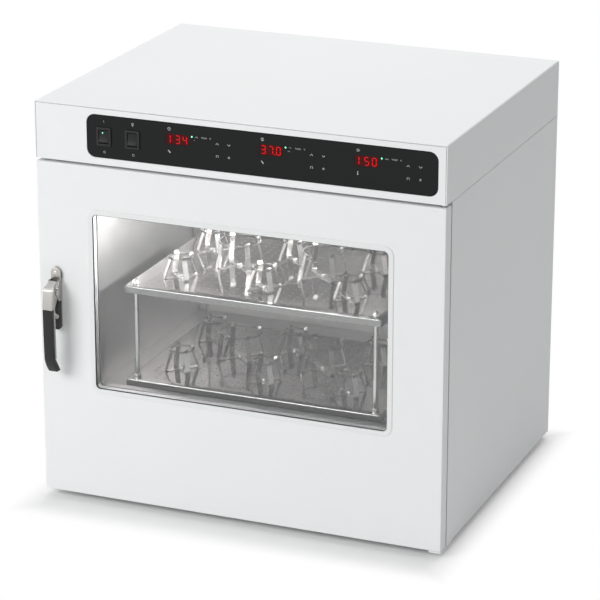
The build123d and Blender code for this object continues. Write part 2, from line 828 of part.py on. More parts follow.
glass_spacer.part.label = "glass_spacer"
export_step(glass_spacer.part, "parts/glass_spacer.step")

# Foam core round the glass, cut away for the latch and the hinge blocks.
core_width = width - 2 * (shell_sheet + seat_gap)
core_height = door_height - 2 * (shell_sheet + seat_gap)
block_x = half_width - shell_sheet - seat_gap - hinge_block_width / 2
block_zs = (
    z_door_bottom + shell_sheet + seat_gap + hinge_block_depth / 2,
    z_door_top - shell_sheet - seat_gap - hinge_block_depth / 2,
)

with BuildPart() as door_core:
    with BuildSketch(facing_front(y_door + shell_sheet)):
        with Locations((0, z_door)):
            Rectangle(core_width, core_height)
        with Locations((window_centre_x, z_window)):
            Rectangle(glass_width + 2 * seat_gap, glass_height + 2 * seat_gap, mode=Mode.SUBTRACT)
        slot_between(z_door_slot_bottom, z_latch_slot_top, latch_slot_width)
        with Locations(*[(block_x, z) for z in block_zs]):
            Rectangle(
                hinge_block_width + 3 * seat_gap, hinge_block_depth + 3 * seat_gap, mode=Mode.SUBTRACT
            )
    extrude(amount=-(skin_depth - shell_sheet))

door_core.part.label = "door_core"
export_step(door_core.part, "parts/door_core.step")

# Hinge blocks in the two right corners, and the bushes pressed into them.
with BuildPart() as hinge_blocks:
    with BuildSketch(facing_front(y_door + shell_sheet)):
        with Locations(*[(block_x, z) for z in block_zs]):
            Rectangle(hinge_block_width, hinge_block_depth)
    extrude(amount=-(skin_depth - shell_sheet))
    with Locations((hinge_x, hinge_y, z_door_top)):
        Hole(radius=hinge_pin_radius + hinge_bush_wall + press_gap, depth=door_height)

hinge_blocks.part.label = "hinge_blocks"
export_step(hinge_blocks.part, "parts/hinge_blocks.step")

bush_bottoms = (z_door_bottom + shell_sheet, z_door_top - shell_sheet - hinge_bush_length)

with BuildPart() as hinge_bushes:
    for z in bush_bottoms:
        with BuildSketch(Plane.XY.offset(z)):
            with Locations((hinge_x, hinge_y)):
                Circle(hinge_pin_radius + hinge_bush_wall)
                Circle(hinge_pin_radius + running_gap, mode=Mode.SUBTRACT)
        extrude(amount=hinge_bush_length)

hinge_bushes.part.label = "hinge_bushes"
export_step(hinge_bushes.part, "parts/hinge_bushes.step")

# Hinge pins: one hangs from the deck, one stands in a bracket under the cabinet.
pin_engagement = 12.0
z_bracket = z_base - hinge_bracket_sheet

with BuildPart() as hinge_pins:
    with BuildSketch(Plane.XY.offset(z_bracket)):
        with Locations((hinge_x, hinge_y)):
            Circle(hinge_pin_radius)
    extrude(amount=hinge_bracket_sheet + door_bottom_gap + shell_sheet + pin_engagement)
    with BuildSketch(Plane.XY.offset(z_door_top - shell_sheet - pin_engagement)):
        with Locations((hinge_x, hinge_y)):
            Circle(hinge_pin_radius)
    extrude(amount=z_deck_top - z_door_top + shell_sheet + pin_engagement)

hinge_pins.part.label = "hinge_pins"
export_step(hinge_pins.part, "parts/hinge_pins.step")

with BuildPart() as hinge_bracket:
    with BuildSketch(Plane.XY.offset(z_bracket)):
        bracket_back = y_frame + hinge_bracket_length
        bracket_front = hinge_y - hinge_inset
        with Locations((hinge_x + hinge_inset - hinge_bracket_width / 2 - 1, (bracket_front + bracket_back) / 2)):
            RectangleRounded(hinge_bracket_width, bracket_back - bracket_front, 4)
        with Locations((hinge_x, hinge_y)):
            Circle(hinge_pin_radius + press_gap, mode=Mode.SUBTRACT)
    extrude(amount=hinge_bracket_sheet)

hinge_bracket.part.label = "hinge_bracket"
export_step(hinge_bracket.part, "parts/hinge_bracket.step")

# Door gasket: a ring with two rounded lips, just clear of the front frame.
gasket_inner_width = chamber_width + 2 * gasket_margin
gasket_inner_height = chamber_height + 2 * gasket_margin

with BuildPart() as door_gasket:
    with BuildSketch(facing_front(y_door + door_thickness)):
        with Locations((0, z_chamber)):
            RectangleRounded(
                gasket_inner_width + 2 * gasket_width, gasket_inner_height + 2 * gasket_width, 6
            )
            Rectangle(gasket_inner_width, gasket_inner_height, mode=Mode.SUBTRACT)
    extrude(amount=-(gasket_gap - seat_gap))
    with BuildSketch(facing_front(y_door + door_thickness + gasket_gap / 2)):
        with Locations((0, z_chamber)):
            Rectangle(gasket_inner_width + gasket_width + gasket_lip, gasket_inner_height + gasket_width + gasket_lip)
            Rectangle(
                gasket_inner_width + gasket_width - gasket_lip,
                gasket_inner_height + gasket_width - gasket_lip,
                mode=Mode.SUBTRACT,
            )
    extrude(amount=-gasket_gap, mode=Mode.SUBTRACT)

door_gasket.part.label = "door_gasket"
export_step(door_gasket.part, "parts/door_gasket.step")

# ================================================================ door latch
# Side outlines are given as (distance in front of the door, height above the cabinet's underside).
latch_left = latch_centre_x - latch_width / 2
latch_right = latch_centre_x + latch_width / 2
cheek_gap = 0.3
hub_width = latch_width - 2 * latch_cheek - 2 * cheek_gap


def latch_points(*points):
    """Turn latch outline points into Y and Z."""
    return [(y_door - out, z_base + height) for out, height in points]


def towards_pivot(height):
    """Height of a latch feature that keeps its place from the pivot."""
    return latch_pivot_height + height


latch_top = latch_foot + latch_height
head_bottom = towards_pivot(15.6)  # underside of the solid head of the base
cover_top = latch_foot + latch_cover_height

with BuildPart() as latch_base:
    # Back plate and the solid head, with a round top.
    with BuildSketch(facing_front(y_door)):
        with Locations((latch_centre_x, z_base + (latch_foot + latch_top - latch_width / 2) / 2)):
            Rectangle(latch_width, latch_height - latch_width / 2)
        with Locations((latch_centre_x, z_base + latch_top - latch_width / 2)):
            Circle(latch_width / 2)
        slot_between(z_door_slot_bottom, z_latch_slot_top, latch_slot_width)
    extrude(amount=latch_back_sheet)
    with BuildSketch(facing_front(y_door)):
        with Locations((latch_centre_x, z_base + (head_bottom + latch_top - latch_width / 2) / 2)):
            Rectangle(latch_width, latch_top - latch_width / 2 - head_bottom)
        with Locations((latch_centre_x, z_base + latch_top - latch_width / 2)):
            Circle(latch_width / 2)
    extrude(amount=latch_body_depth)
    # Cheeks on both sides of the lever head; their noses are round about the pivot.
    for cheek_left in (latch_left, latch_right - latch_cheek):
        with BuildSketch(facing_right(cheek_left)):
            with BuildLine():
                Polyline(
                    *latch_points(
                        (0, cover_top + 1),
                        (latch_body_depth, cover_top + 1),
                        (latch_body_depth + 4, towards_pivot(-17.5)),
                        (latch_pivot_out + 5.4, towards_pivot(-2.6)),
                        (latch_pivot_out + 5.4, towards_pivot(2.6)),
                        (latch_body_depth + 3.5, towards_pivot(13.8)),
                        (latch_body_depth, head_bottom),
                        (0, head_bottom),
                    ),
                    close=True,
                )
            make_face()
        extrude(amount=latch_cheek)
    with BuildSketch(facing_right(latch_left)):
        with Locations((y_latch_pivot, z_latch_pivot)):
            Circle(latch_pin_radius + press_gap)
    extrude(amount=latch_width, mode=Mode.SUBTRACT)

latch_base.part.label = "latch_base"
export_step(latch_base.part, "parts/latch_base.step")

# Cover over the lower half of the base, rounded off at its lower end.
with BuildPart() as latch_cover:
    with BuildSketch(facing_right(latch_left)):
        with BuildLine():
            low = z_base + latch_foot
            high = z_base + cover_top
            front = y_door - latch_body_depth
            back = y_door - latch_back_sheet
            round_off = latch_body_depth - latch_back_sheet - 1
            Line((back, high), (front, high))
            Line((front, high), (front, low + round_off))
            RadiusArc((front, low + round_off), (front + round_off, low), -round_off)
            Line((front + round_off, low), (back, low))
            Line((back, low), (back, high))
        make_face()
    extrude(amount=latch_width)

latch_cover.part.label = "latch_cover"
export_step(latch_cover.part, "parts/latch_cover.step")

with BuildPart() as latch_pin:
    with BuildSketch(facing_right(latch_left)):
        with Locations((y_latch_pivot, z_latch_pivot)):
            Circle(latch_pin_radius)
    extrude(amount=latch_width)

latch_pin.part.label = "latch_pin"
export_step(latch_pin.part, "parts/latch_pin.step")

# Lever: a narrow head between the cheeks, a full-width arm below them, and the tail with its nose.
arm_front = latch_reach
arm_back = 28.0
chrome_end = towards_pivot(-31.6)
grip_end = chrome_end - latch_grip_length
tail_half = latch_tail_height / 2

with BuildPart() as latch_lever:
    with BuildSketch(facing_right(latch_centre_x - hub_width / 2)):
        with BuildLine():
            Polyline(
                *latch_points(
                    (latch_body_depth + 3.5, towards_pivot(14.2)),
                    (latch_pivot_out, towards_pivot(9.9)),
                    (latch_pivot_out + 12, towards_pivot(3.3)),
                    (latch_pivot_out + 15.6, towards_pivot(-0.9)),
                    (arm_front, chrome_end),
                    (arm_back, chrome_end),
                    (arm_back - 11, towards_pivot(-19.2)),
                    (latch_pivot_out - 6, towards_pivot(-6)),
                    (latch_pivot_out - 6, towards_pivot(8)),
                ),
                close=True,
            )
        make_face()
    extrude(amount=hub_width)
    with BuildSketch(facing_right(latch_left)):
        with BuildLine():
            Polyline(
                *latch_points(
                    (latch_pivot_out + 8.2, towards_pivot(5.3)),
                    (latch_pivot_out + 12, towards_pivot(3.3)),
                    (latch_pivot_out + 15.6, towards_pivot(-0.9)),
                    (arm_front, chrome_end),
                    (arm_back, chrome_end),
                    (arm_back - 10.4, towards_pivot(-19.6)),
                    (latch_pivot_out + 8.2, towards_pivot(-0.3)),
                ),
                close=True,
            )
        make_face()
    extrude(amount=latch_width)
    with BuildSketch(facing_right(latch_centre_x - latch_tail_width / 2)):
        with BuildLine():
            Polyline(
                (y_latch_pivot, z_latch_pivot - tail_half),
                (y_latch_pivot + latch_tail_reach - 3, z_latch_pivot - tail_half),
                (y_latch_pivot + latch_tail_reach, z_latch_pivot),
                (y_latch_pivot + latch_tail_reach, z_latch_pivot + tail_half + latch_nose),
                (y_latch_pivot + latch_tail_reach - latch_nose_length, z_latch_pivot + tail_half + latch_nose),
                (y_latch_pivot + latch_tail_reach - latch_nose_length, z_latch_pivot + tail_half),
                (y_latch_pivot, z_latch_pivot + tail_half),
                close=True,
            )
        make_face()
    extrude(amount=latch_tail_width)
    with BuildSketch(facing_right(latch_left)):
        with Locations((y_latch_pivot, z_latch_pivot)):
            Circle(latch_pin_radius + running_gap)
    extrude(amount=latch_width, mode=Mode.SUBTRACT)

latch_lever.part.label = "latch_lever"
export_step(latch_lever.part, "parts/latch_lever.step")

# Grip: a soft sleeve below the metal arm, its end turned in towards the door.
grip_corner = 2.5

with BuildPart() as latch_grip:
    with BuildSketch(facing_right(latch_left)):
        with BuildLine():
            Polyline(
                *latch_points(
                    (arm_front, chrome_end),
                    (arm_front - 0.3, grip_end + 70),
                    (arm_front - 1.6, grip_end + 26),
                    (arm_front - 8, grip_end + 12),
                    (arm_front - 15.5, grip_end + 2),
                    (arm_front - 26, grip_end + 2),
                    (arm_front - 21.5, grip_end + 9.5),
                    (arm_front - 12.6, grip_end + 23),
                    (arm_front - 12.2, grip_end + 68),
                    (arm_back, chrome_end),
                ),
                close=True,
            )
        make_face()
    extrude(amount=latch_width)
    fillet(latch_grip.faces().sort_by(Axis.Y)[0].edges().filter_by(Axis.X, reverse=True), radius=grip_corner)

latch_grip.part.label = "latch_grip"
export_step(latch_grip.part, "parts/latch_grip.step")

# ================================================================ orbital drive
z_bay_floor = z_base + shell_sheet

with BuildPart() as drive_chassis:
    with BuildSketch(Plane.XY.offset(z_chassis)):
        with Locations((0, y_shaft)):
            RectangleRounded(chassis_width, chassis_depth, chassis_corner)
        for (x, y), housing_radius in zip(crank_centres, housing_radii):
            with Locations((x, y)):
                Circle(housing_radius + press_gap, mode=Mode.SUBTRACT)
        # Windows that lighten the plate.
        with Locations((-110, y_shaft + 70), (110, y_shaft + 85)):
            RectangleRounded(80, 60, 10, mode=Mode.SUBTRACT)
    extrude(amount=chassis_sheet)

    # Hexagonal posts that stand on the floor of the cabinet.
    with BuildSketch(Plane.XY.offset(z_bay_floor)):
        with Locations((0, y_shaft)):
            with GridLocations(
                chassis_width - 2 * chassis_post_inset, chassis_depth - 2 * chassis_post_inset, 2, 2
            ):
                RegularPolygon(chassis_post_radius, 6)
    extrude(amount=z_chassis - z_bay_floor)

drive_chassis.part.label = "drive_chassis"
export_step(drive_chassis.part, "parts/drive_chassis.step")

# Bearing housings: tubes with a square flange that pass through the chassis plate.
z_housing_bottom = z_chassis - 4.0
bearing_walls = [main_bearing_wall] + [idler_bearing_wall] * len(idler_places)

with BuildPart() as bearing_housings:
    for (x, y), shaft_radius, wall, housing_radius in zip(
        crank_centres, shaft_radii, bearing_walls, housing_radii
    ):
        with BuildSketch(Plane.XY.offset(z_housing_bottom)):
            with Locations((x, y)):
                Circle(housing_radius)
        extrude(amount=housing_height)
        with BuildSketch(Plane.XY.offset(z_housing)):
            with Locations((x, y)):
                Rectangle(2 * (housing_radius + housing_flange), 2 * (housing_radius + housing_flange))
        extrude(amount=housing_flange_sheet)
        with Locations((x, y, z_housing_bottom + housing_height)):
            Hole(radius=shaft_radius + wall, depth=housing_height)

bearing_housings.part.label = "bearing_housings"
export_step(bearing_housings.part, "parts/bearing_housings.step")

# Double-row cartridge bearings, one in each housing.
with BuildPart() as shaft_bearings:
    for (x, y), shaft_radius, wall in zip(crank_centres, shaft_radii, bearing_walls):
        with BuildSketch(Plane.XY.offset(z_housing_bottom + bearing_inset)):
            with Locations((x, y)):
                Circle(shaft_radius + wall - press_gap)
                Circle(shaft_radius + running_gap, mode=Mode.SUBTRACT)
        extrude(amount=housing_height - 2 * bearing_inset)

shaft_bearings.part.label = "shaft_bearings"
export_step(shaft_bearings.part, "parts/shaft_bearings.step")

# Lip seals under the chamber floor, one round each shaft.
with BuildPart() as shaft_seals:
    for (x, y), shaft_radius in zip(crank_centres, shaft_radii):
        with BuildSketch(Plane.XY.offset(z_floor)):
            with Locations((x, y)):
                Circle(shaft_radius + seal_gap + 4)
                Circle(shaft_radius + seat_gap, mode=Mode.SUBTRACT)
        extrude(amount=seal_sheet)

shaft_seals.part.label = "shaft_seals"
export_step(shaft_seals.part, "parts/shaft_seals.step")

z_pin_top = z_carriage + carriage_sheet - 2.0


def crank(place, shaft_radius, web_radius, pin_radius, z_shaft_end):
    """A vertical shaft with a web on top and an eccentric pin on the web, towards the front."""
    x, y = place
    with BuildPart() as crank_part:
        with BuildSketch(Plane.XY.offset(z_shaft_end)):
            with Locations((x, y)):
                Circle(shaft_radius)
        extrude(amount=z_web - z_shaft_end)
        with BuildSketch(Plane.XY.offset(z_web)):
            with Locations((x, y)):
                Circle(web_radius)
        extrude(amount=web_height)
        with BuildSketch(Plane.XY.offset(z_web + web_height)):
            with Locations((x, y - orbit_radius)):
                Circle(pin_radius)
        extrude(amount=z_pin_top - z_web - web_height)
    return crank_part.part


with BuildPart() as main_crank:
    add(crank(crank_centres[0], main_shaft_radius, main_web_radius, main_pin_radius, z_pulley - 4))

main_crank.part.label = "main_crank"
export_step(main_crank.part, "parts/main_crank.step")

z_idler_end = z_housing_bottom - 3.0

with BuildPart() as left_idler_crank:
    add(crank(crank_centres[1], idler_shaft_radius, idler_web_radius, idler_pin_radius, z_idler_end))

left_idler_crank.part.label = "left_idler_crank"
export_step(left_idler_crank.part, "parts/left_idler_crank.step")

with BuildPart() as right_idler_crank:
    add(crank(crank_centres[2], idler_shaft_radius, idler_web_radius, idler_pin_radius, z_idler_end))

right_idler_crank.part.label = "right_idler_crank"
export_step(right_idler_crank.part, "parts/right_idler_crank.step")

with BuildPart() as rear_idler_crank:
    add(crank(crank_centres[3], idler_shaft_radius, idler_web_radius, idler_pin_radius, z_idler_end))

rear_idler_crank.part.label = "rear_idler_crank"
export_step(rear_idler_crank.part, "parts/rear_idler_crank.step")


# Main pulley: a plain wheel for the flat belt, which the flanges of the motor pulley guide.
with BuildPart() as main_pulley:
    with BuildSketch(Plane.XY.offset(z_pulley)):
        with Locations(crank_centres[0]):
            Circle(pulley_radius)
            Circle(main_shaft_radius + press_gap, mode=Mode.SUBTRACT)
    extrude(amount=pulley_height)

main_pulley.part.label = "main_pulley"
export_step(main_pulley.part, "parts/main_pulley.step")

# Counterweight: a half disc opposite the eccentric pin, clamped on the main shaft.
with BuildPart() as counterweight:
    with BuildSketch(Plane.XY.offset(z_weight)):
        with Locations((0, y_shaft)):
            Circle(weight_radius)
            Rectangle(3 * weight_radius, weight_radius, align=(Align.CENTER, Align.MAX), mode=Mode.SUBTRACT)
            Circle(weight_hub_radius)
            Circle(main_shaft_radius + press_gap, mode=Mode.SUBTRACT)
    extrude(amount=weight_height)

counterweight.part.label = "counterweight"
export_step(counterweight.part, "parts/counterweight.step")

# Drive motor, hung under the chassis plate; its pulley and shaft turn as one piece.
motor_place = (motor_x, y_shaft)
motor_pulley_radius = pulley_radius / pulley_ratio
z_motor = z_chassis - motor_flange - motor_height
motor_well = 30.0

with BuildPart() as drive_motor:
    with BuildSketch(Plane.XY.offset(z_motor)):
        with Locations(motor_place):
            Circle(motor_radius)
    extrude(amount=motor_height)
    with BuildSketch(Plane.XY.offset(z_chassis - motor_flange)):
        with Locations(motor_place):
            RectangleRounded(2 * motor_radius, 2 * motor_radius, 8)
    extrude(amount=motor_flange)
    with BuildSketch(Plane.XY.offset(z_motor)):
        with Locations(motor_place):
            Circle(motor_shaft_radius + running_gap)
    extrude(amount=motor_well, mode=Mode.SUBTRACT)

drive_motor.part.label = "drive_motor"
export_step(drive_motor.part, "parts/drive_motor.step")

motor_flange_radius = motor_pulley_radius + pulley_flange_rise
motor_shaft_end = z_motor + motor_well - 2 - z_pulley

with BuildPart() as motor_pulley:
    with BuildSketch(Plane(origin=(*motor_place, z_pulley), x_dir=(1, 0, 0), z_dir=(0, -1, 0))):
        with BuildLine():
            Polyline(
                (0, 0),
                (motor_flange_radius, 0),
                (motor_flange_radius, pulley_flange),
                (motor_pulley_radius, pulley_flange),
                (motor_pulley_radius, pulley_height - pulley_flange),
                (motor_flange_radius, pulley_height - pulley_flange),
                (motor_flange_radius, pulley_height),
                (motor_shaft_radius, pulley_height),
                (motor_shaft_radius, motor_shaft_end),
                (0, motor_shaft_end),
                close=True,
            )
        make_face()
    revolve(axis=Axis((*motor_place, z_pulley), (0, 0, 1)))

motor_pulley.part.label = "motor_pulley"
export_step(motor_pulley.part, "parts/motor_pulley.step")

# Flat belt round both pulleys, as its outer loop less its inner loop.
belt_angle_cos = (pulley_radius - motor_pulley_radius) / motor_x
belt_angle_sin = sqrt(1 - belt_angle_cos**2)


def belt_loop(clearance):
    """The outline round both pulleys at a distance from their rims, in a sketch on the belt's level."""
    big = pulley_radius + clearance
    small = motor_pulley_radius + clearance
    big_top = (big * belt_angle_cos, y_shaft + big * belt_angle_sin)
    big_low = (big * belt_angle_cos, y_shaft - big * belt_angle_sin)
    small_top = (motor_x + small * belt_angle_cos, y_shaft + small * belt_angle_sin)
    small_low = (motor_x + small * belt_angle_cos, y_shaft - small * belt_angle_sin)
    with BuildLine() as loop:
        Line(small_top, big_top)
        ThreePointArc(big_top, (-big, y_shaft), big_low)
        Line(big_low, small_low)
        ThreePointArc(small_low, (motor_x + small, y_shaft), small_top)
    return loop.edges()


with BuildPart() as drive_belt:
    with BuildSketch(Plane.XY.offset(z_belt)):
        make_face(belt_loop(belt_gap + belt_sheet))
    extrude(amount=belt_width)
    with BuildSketch(Plane.XY.offset(z_belt)):
        make_face(belt_loop(belt_gap))
    extrude(amount=belt_width, mode=Mode.SUBTRACT)

drive_belt.part.label = "drive_belt"
export_step(drive_belt.part, "parts/drive_belt.step")

# ================================================================ platform
pin_centres = [(x, y - orbit_radius) for x, y in crank_centres]
pin_radii = [main_pin_radius] + [idler_pin_radius] * len(idler_places)
cup_bearing_wall = 6.0
cup_bearing_height = 10.0

with BuildPart() as platform_carriage:
    with BuildSketch(Plane.XY.offset(z_carriage)):
        with Locations((0, y_tray)):
            RectangleRounded(carriage_width, carriage_depth, carriage_corner)
            with Locations((-95, 40), (95, 40)):
                RectangleRounded(110, 90, 12, mode=Mode.SUBTRACT)
            with Locations((-75, -75), (75, -75)):
                RectangleRounded(70, 50, 12, mode=Mode.SUBTRACT)
    extrude(amount=carriage_sheet)
    for (x, y), pin_radius in zip(pin_centres, pin_radii):
        with BuildSketch(Plane.XY.offset(z_cup)):
            with Locations((x, y)):
                Circle(pin_radius + cup_bearing_wall + bearing_cup_wall)
        extrude(amount=bearing_cup_height)
    for (x, y), pin_radius in zip(pin_centres, pin_radii):
        with Locations((x, y, z_carriage + carriage_sheet)):
            Hole(radius=pin_radius + cup_bearing_wall, depth=bearing_cup_height)

platform_carriage.part.label = "platform_carriage"
export_step(platform_carriage.part, "parts/platform_carriage.step")

with BuildPart() as carriage_bearings:
    for (x, y), pin_radius in zip(pin_centres, pin_radii):
        with BuildSketch(Plane.XY.offset(z_cup + 1)):
            with Locations((x, y)):
                Circle(pin_radius + cup_bearing_wall - press_gap)
                Circle(pin_radius + running_gap, mode=Mode.SUBTRACT)
        extrude(amount=cup_bearing_height)

carriage_bearings.part.label = "carriage_bearings"
export_step(carriage_bearings.part, "parts/carriage_bearings.step")


def tray_at(z_tray_top):
    """A folded tray: flat top, rim turned down all round, holes for the posts."""
    with BuildPart() as tray:
        with BuildSketch(Plane.XY.offset(z_tray_top - tray_rim)):
            with Locations((0, y_tray)):
                Rectangle(tray_width, tray_depth)
        extrude(amount=tray_rim)
        fillet(
            tray.faces().sort_by(Axis.Z)[-1].edges() + tray.edges().filter_by(Axis.Z),
            radius=tray_edge_radius,
        )
        with BuildSketch(Plane.XY.offset(z_tray_top - tray_rim)):
            with Locations((0, y_tray)):
                Rectangle(tray_width - 2 * tray_sheet, tray_depth - 2 * tray_sheet)
        extrude(amount=tray_rim - tray_sheet, mode=Mode.SUBTRACT)
        with Locations((0, y_tray, z_tray_top)):
            with GridLocations(tray_width - 2 * post_inset, tray_depth - 2 * post_inset, 2, 2):
                Hole(radius=post_radius + seat_gap, depth=2 * tray_sheet)
    return tray.part


with BuildPart() as platform_trays:
    add(tray_at(z_lower_tray))
    add(tray_at(z_upper_tray))

platform_trays.part.label = "platform_trays"
export_step(platform_trays.part, "parts/platform_trays.step")

post_places = GridLocations(tray_width - 2 * post_inset, tray_depth - 2 * post_inset, 2, 2)
z_post_bottom = z_lower_tray - tray_rim + 1
post_end = 5.0

with BuildPart() as tray_posts:
    with BuildSketch(Plane.XY.offset(z_post_bottom)):
        with Locations((0, y_tray)):
            with Locations(*post_places):
                Circle(post_radius)
    extrude(amount=z_upper_tray + post_end - 1 - z_post_bottom)

tray_posts.part.label = "tray_posts"
export_step(tray_posts.part, "parts/tray_posts.step")

collar_height = 6.0

with BuildPart() as post_nuts:
    # Domed nuts on top of the posts.
    with Locations((0, y_tray, z_upper_tray)):
        with Locations(*post_places):
            Cylinder(post_nut_radius, post_nut_height, align=(Align.CENTER, Align.CENTER, Align.MIN))
    chamfer(post_nuts.faces().sort_by(Axis.Z)[-4:].edges(), length=post_nut_radius * 0.4)
    with Locations((0, y_tray, z_upper_tray + post_end)):
        with Locations(*post_places):
            Hole(radius=post_radius + press_gap, depth=post_end)
    # Collars under the upper tray and on the lower tray.
    for z in (z_upper_tray - tray_sheet - collar_height, z_lower_tray):
        with BuildSketch(Plane.XY.offset(z)):
            with Locations((0, y_tray)):
                with Locations(*post_places):
                    RegularPolygon(post_nut_radius, 6)
                    Circle(post_radius + press_gap, mode=Mode.SUBTRACT)
        extrude(amount=collar_height)

post_nuts.part.label = "post_nuts"
export_step(post_nuts.part, "parts/post_nuts.step")


def upright_plane(angle):
    """An upright plane through the Z axis whose x points out at an angle."""
    return Plane(
        origin=(0, 0, 0),
        x_dir=(cos(radians(angle)), sin(radians(angle)), 0),
        z_dir=(sin(radians(angle)), -cos(radians(angle)), 0),
    )


def finger_clamp(base_radius, ring_radius, ring_height):
    """A pressed clamp: a crossed base and four spring fingers that lean in to the ring and flare at the tip."""
    grip = ring_radius - spring_radius - seat_gap
    with BuildPart() as clamp:
        for angle in (45, 135, 225, 315):
            with BuildSketch(upright_plane(angle)):
                with BuildLine():
                    Polyline(
                        (0, 0),
                        (base_radius - finger_bend, 0),
                        (base_radius, finger_bend),
                        (grip, ring_height),
                        (grip + finger_tip, ring_height + finger_tip),
                    )
                    offset(amount=finger_sheet, kind=Kind.INTERSECTION, side=Side.LEFT)
                make_face()
            extrude(amount=finger_width / 2, both=True)
    return clamp.part


def clamp_ring(ring_radius, ring_height):
    """The spring pulled round the four fingers: eight straight stretches, four of them across the fingers."""
    spring_section = spring_radius * sqrt(2)
    corner_radius = ring_radius / cos(radians(22.5))
    corner_angles = [radians(22.5 + 45 * i) for i in range(8)]
    middle_of_side = 1 / 16
    with BuildPart() as ring:
        with BuildLine(Plane.XY.offset(ring_height)) as pull:
            Polyline(*[(corner_radius * cos(a), corner_radius * sin(a)) for a in corner_angles], close=True)
        path = pull.wires()[0]
        with BuildSketch(Plane(origin=path @ middle_of_side, z_dir=path % middle_of_side)):
            Rectangle(spring_section, spring_section, rotation=45)
        sweep(path=path, transition=Transition.RIGHT)
    return ring.part


def clamp_points(places):
    """Where the clamps of one size stand, on both trays."""
    return [
        (hole_pitch * column, y_tray + hole_pitch * row, z)
        for z in (z_lower_tray, z_upper_tray)
        for column, row in places
    ]


with BuildPart() as finger_clamps:
    with Locations(*clamp_points(small_places)):
        add(finger_clamp(small_base_radius, small_ring_radius, small_ring_height))
    with Locations(*clamp_points(large_places)):
        add(finger_clamp(large_base_radius, large_ring_radius, large_ring_height))

finger_clamps.part.label = "finger_clamps"
export_step(finger_clamps.part, "parts/finger_clamps.step")

with BuildPart() as clamp_rings:
    with Locations(*clamp_points(small_places)):
        add(clamp_ring(small_ring_radius, small_ring_height))
    with Locations(*clamp_points(large_places)):
        add(clamp_ring(large_ring_radius, large_ring_height))

clamp_rings.part.label = "clamp_rings"
export_step(clamp_rings.part, "parts/clamp_rings.step")

with BuildPart() as clamp_screws:
    with BuildSketch(Plane.XY):
        RegularPolygon(clamp_screw_radius, 6)
    screw_head = extrude(amount=clamp_screw_height, mode=Mode.PRIVATE)
    with Locations(*clamp_points(small_places + large_places)):
        with Locations((0, 0, finger_sheet)):
            add(screw_head)

clamp_screws.part.label = "clamp_screws"
export_step(clamp_screws.part, "parts/clamp_screws.step")

# ================================================================ air circulation
baffle_half = chamber_width / 2 - baffle_gap
baffle_height = chamber_height - 2 * baffle_air_gap

with BuildPart() as air_baffle:
    with BuildSketch(Plane.XY.offset(z_chamber - baffle_height / 2)):
        with BuildLine():
            Polyline(
                (-baffle_half, y_duct_back),
                (-baffle_half, y_baffle),
                (baffle_half, y_baffle),
                (baffle_half, y_duct_back),
            )
            offset(amount=baffle_sheet, side=Side.LEFT)
        make_face()
    extrude(amount=baffle_height)
    with BuildSketch(facing_front(y_baffle)):
        with Locations((0, z_fan)):
            with GridLocations(0, 2 * grille_slot, 1, grille_slots):
                Rectangle(1.6 * fan_radius, grille_slot)
        with Locations((probe_x, z_floor + probe_height)):
            Circle(probe_radius + 2)
    extrude(amount=-2 * baffle_sheet, mode=Mode.SUBTRACT)

air_baffle.part.label = "air_baffle"
export_step(air_baffle.part, "parts/air_baffle.step")

# Fan motor behind the liner, in the rear insulation.
y_fan_motor = y_duct_back + liner_sheet
fan_motor_depth = 30.0
fan_well = 24.0

with BuildPart() as fan_motor:
    with BuildSketch(facing_front(y_fan_motor)):
        with Locations((0, z_fan)):
            Circle(fan_motor_radius)
    extrude(amount=-fan_motor_depth)
    with BuildSketch(facing_front(y_fan_motor)):
        with Locations((0, z_fan)):
            Circle(fan_shaft_radius + running_gap)
    extrude(amount=-fan_well, mode=Mode.SUBTRACT)

fan_motor.part.label = "fan_motor"
export_step(fan_motor.part, "parts/fan_motor.step")

# Impeller: shaft, hub, back disc and radial blades.
y_fan_back = y_duct_back - fan_clearance
blade_inner = 0.45 * fan_radius
fan_hub_radius = 10.0

with BuildPart() as fan_impeller:
    with BuildSketch(facing_front(y_fan_back)):
        with Locations((0, z_fan)):
            Circle(fan_shaft_radius)
    extrude(amount=-(fan_clearance + liner_sheet + fan_well - 2))
    with BuildSketch(facing_front(y_fan_back)):
        with Locations((0, z_fan)):
            Circle(fan_radius)
    extrude(amount=fan_back_sheet)
    with BuildSketch(facing_front(y_fan_back - fan_back_sheet)):
        with Locations((0, z_fan)):
            RegularPolygon(fan_hub_radius, 8)
            with PolarLocations((fan_radius + blade_inner) / 2 - 1, fan_blades):
                Rectangle(fan_radius - blade_inner, fan_blade_sheet)
    extrude(amount=fan_blade_height)

fan_impeller.part.label = "fan_impeller"
export_step(fan_impeller.part, "parts/fan_impeller.step")

# Tubular heater: most of a ring round the fan, with two legs through the back of the liner.
y_heater = (y_baffle + baffle_sheet + y_duct_back) / 2
heater_leg = y_fan_motor + 22.0 - y_heater

with BuildPart() as heater_ring:
    with BuildSketch(Plane.XZ):
        with Locations((heater_radius, 0)):
            RegularPolygon(heater_tube_radius, 6)
    revolve(axis=Axis.Z, revolution_arc=360 - heater_opening)
    for angle in (0, 360 - heater_opening):
        with BuildSketch(Plane.XY.offset(-heater_tube_radius)):
            with PolarLocations(heater_radius, 1, start_angle=angle):
                RegularPolygon(heater_tube_radius, 6)
        extrude(amount=heater_leg + heater_tube_radius)

with BuildPart() as heater_coil:
    with Locations(
        Plane(
            origin=(0, y_heater, z_fan),
            x_dir=(cos(radians(-90 - heater_opening / 2)), 0, sin(radians(-90 - heater_opening / 2))),
            z_dir=(0, 1, 0),
        )
    ):
        add(heater_ring.part)

heater_coil.part.label = "heater_coil"
export_step(heater_coil.part, "parts/heater_coil.step")

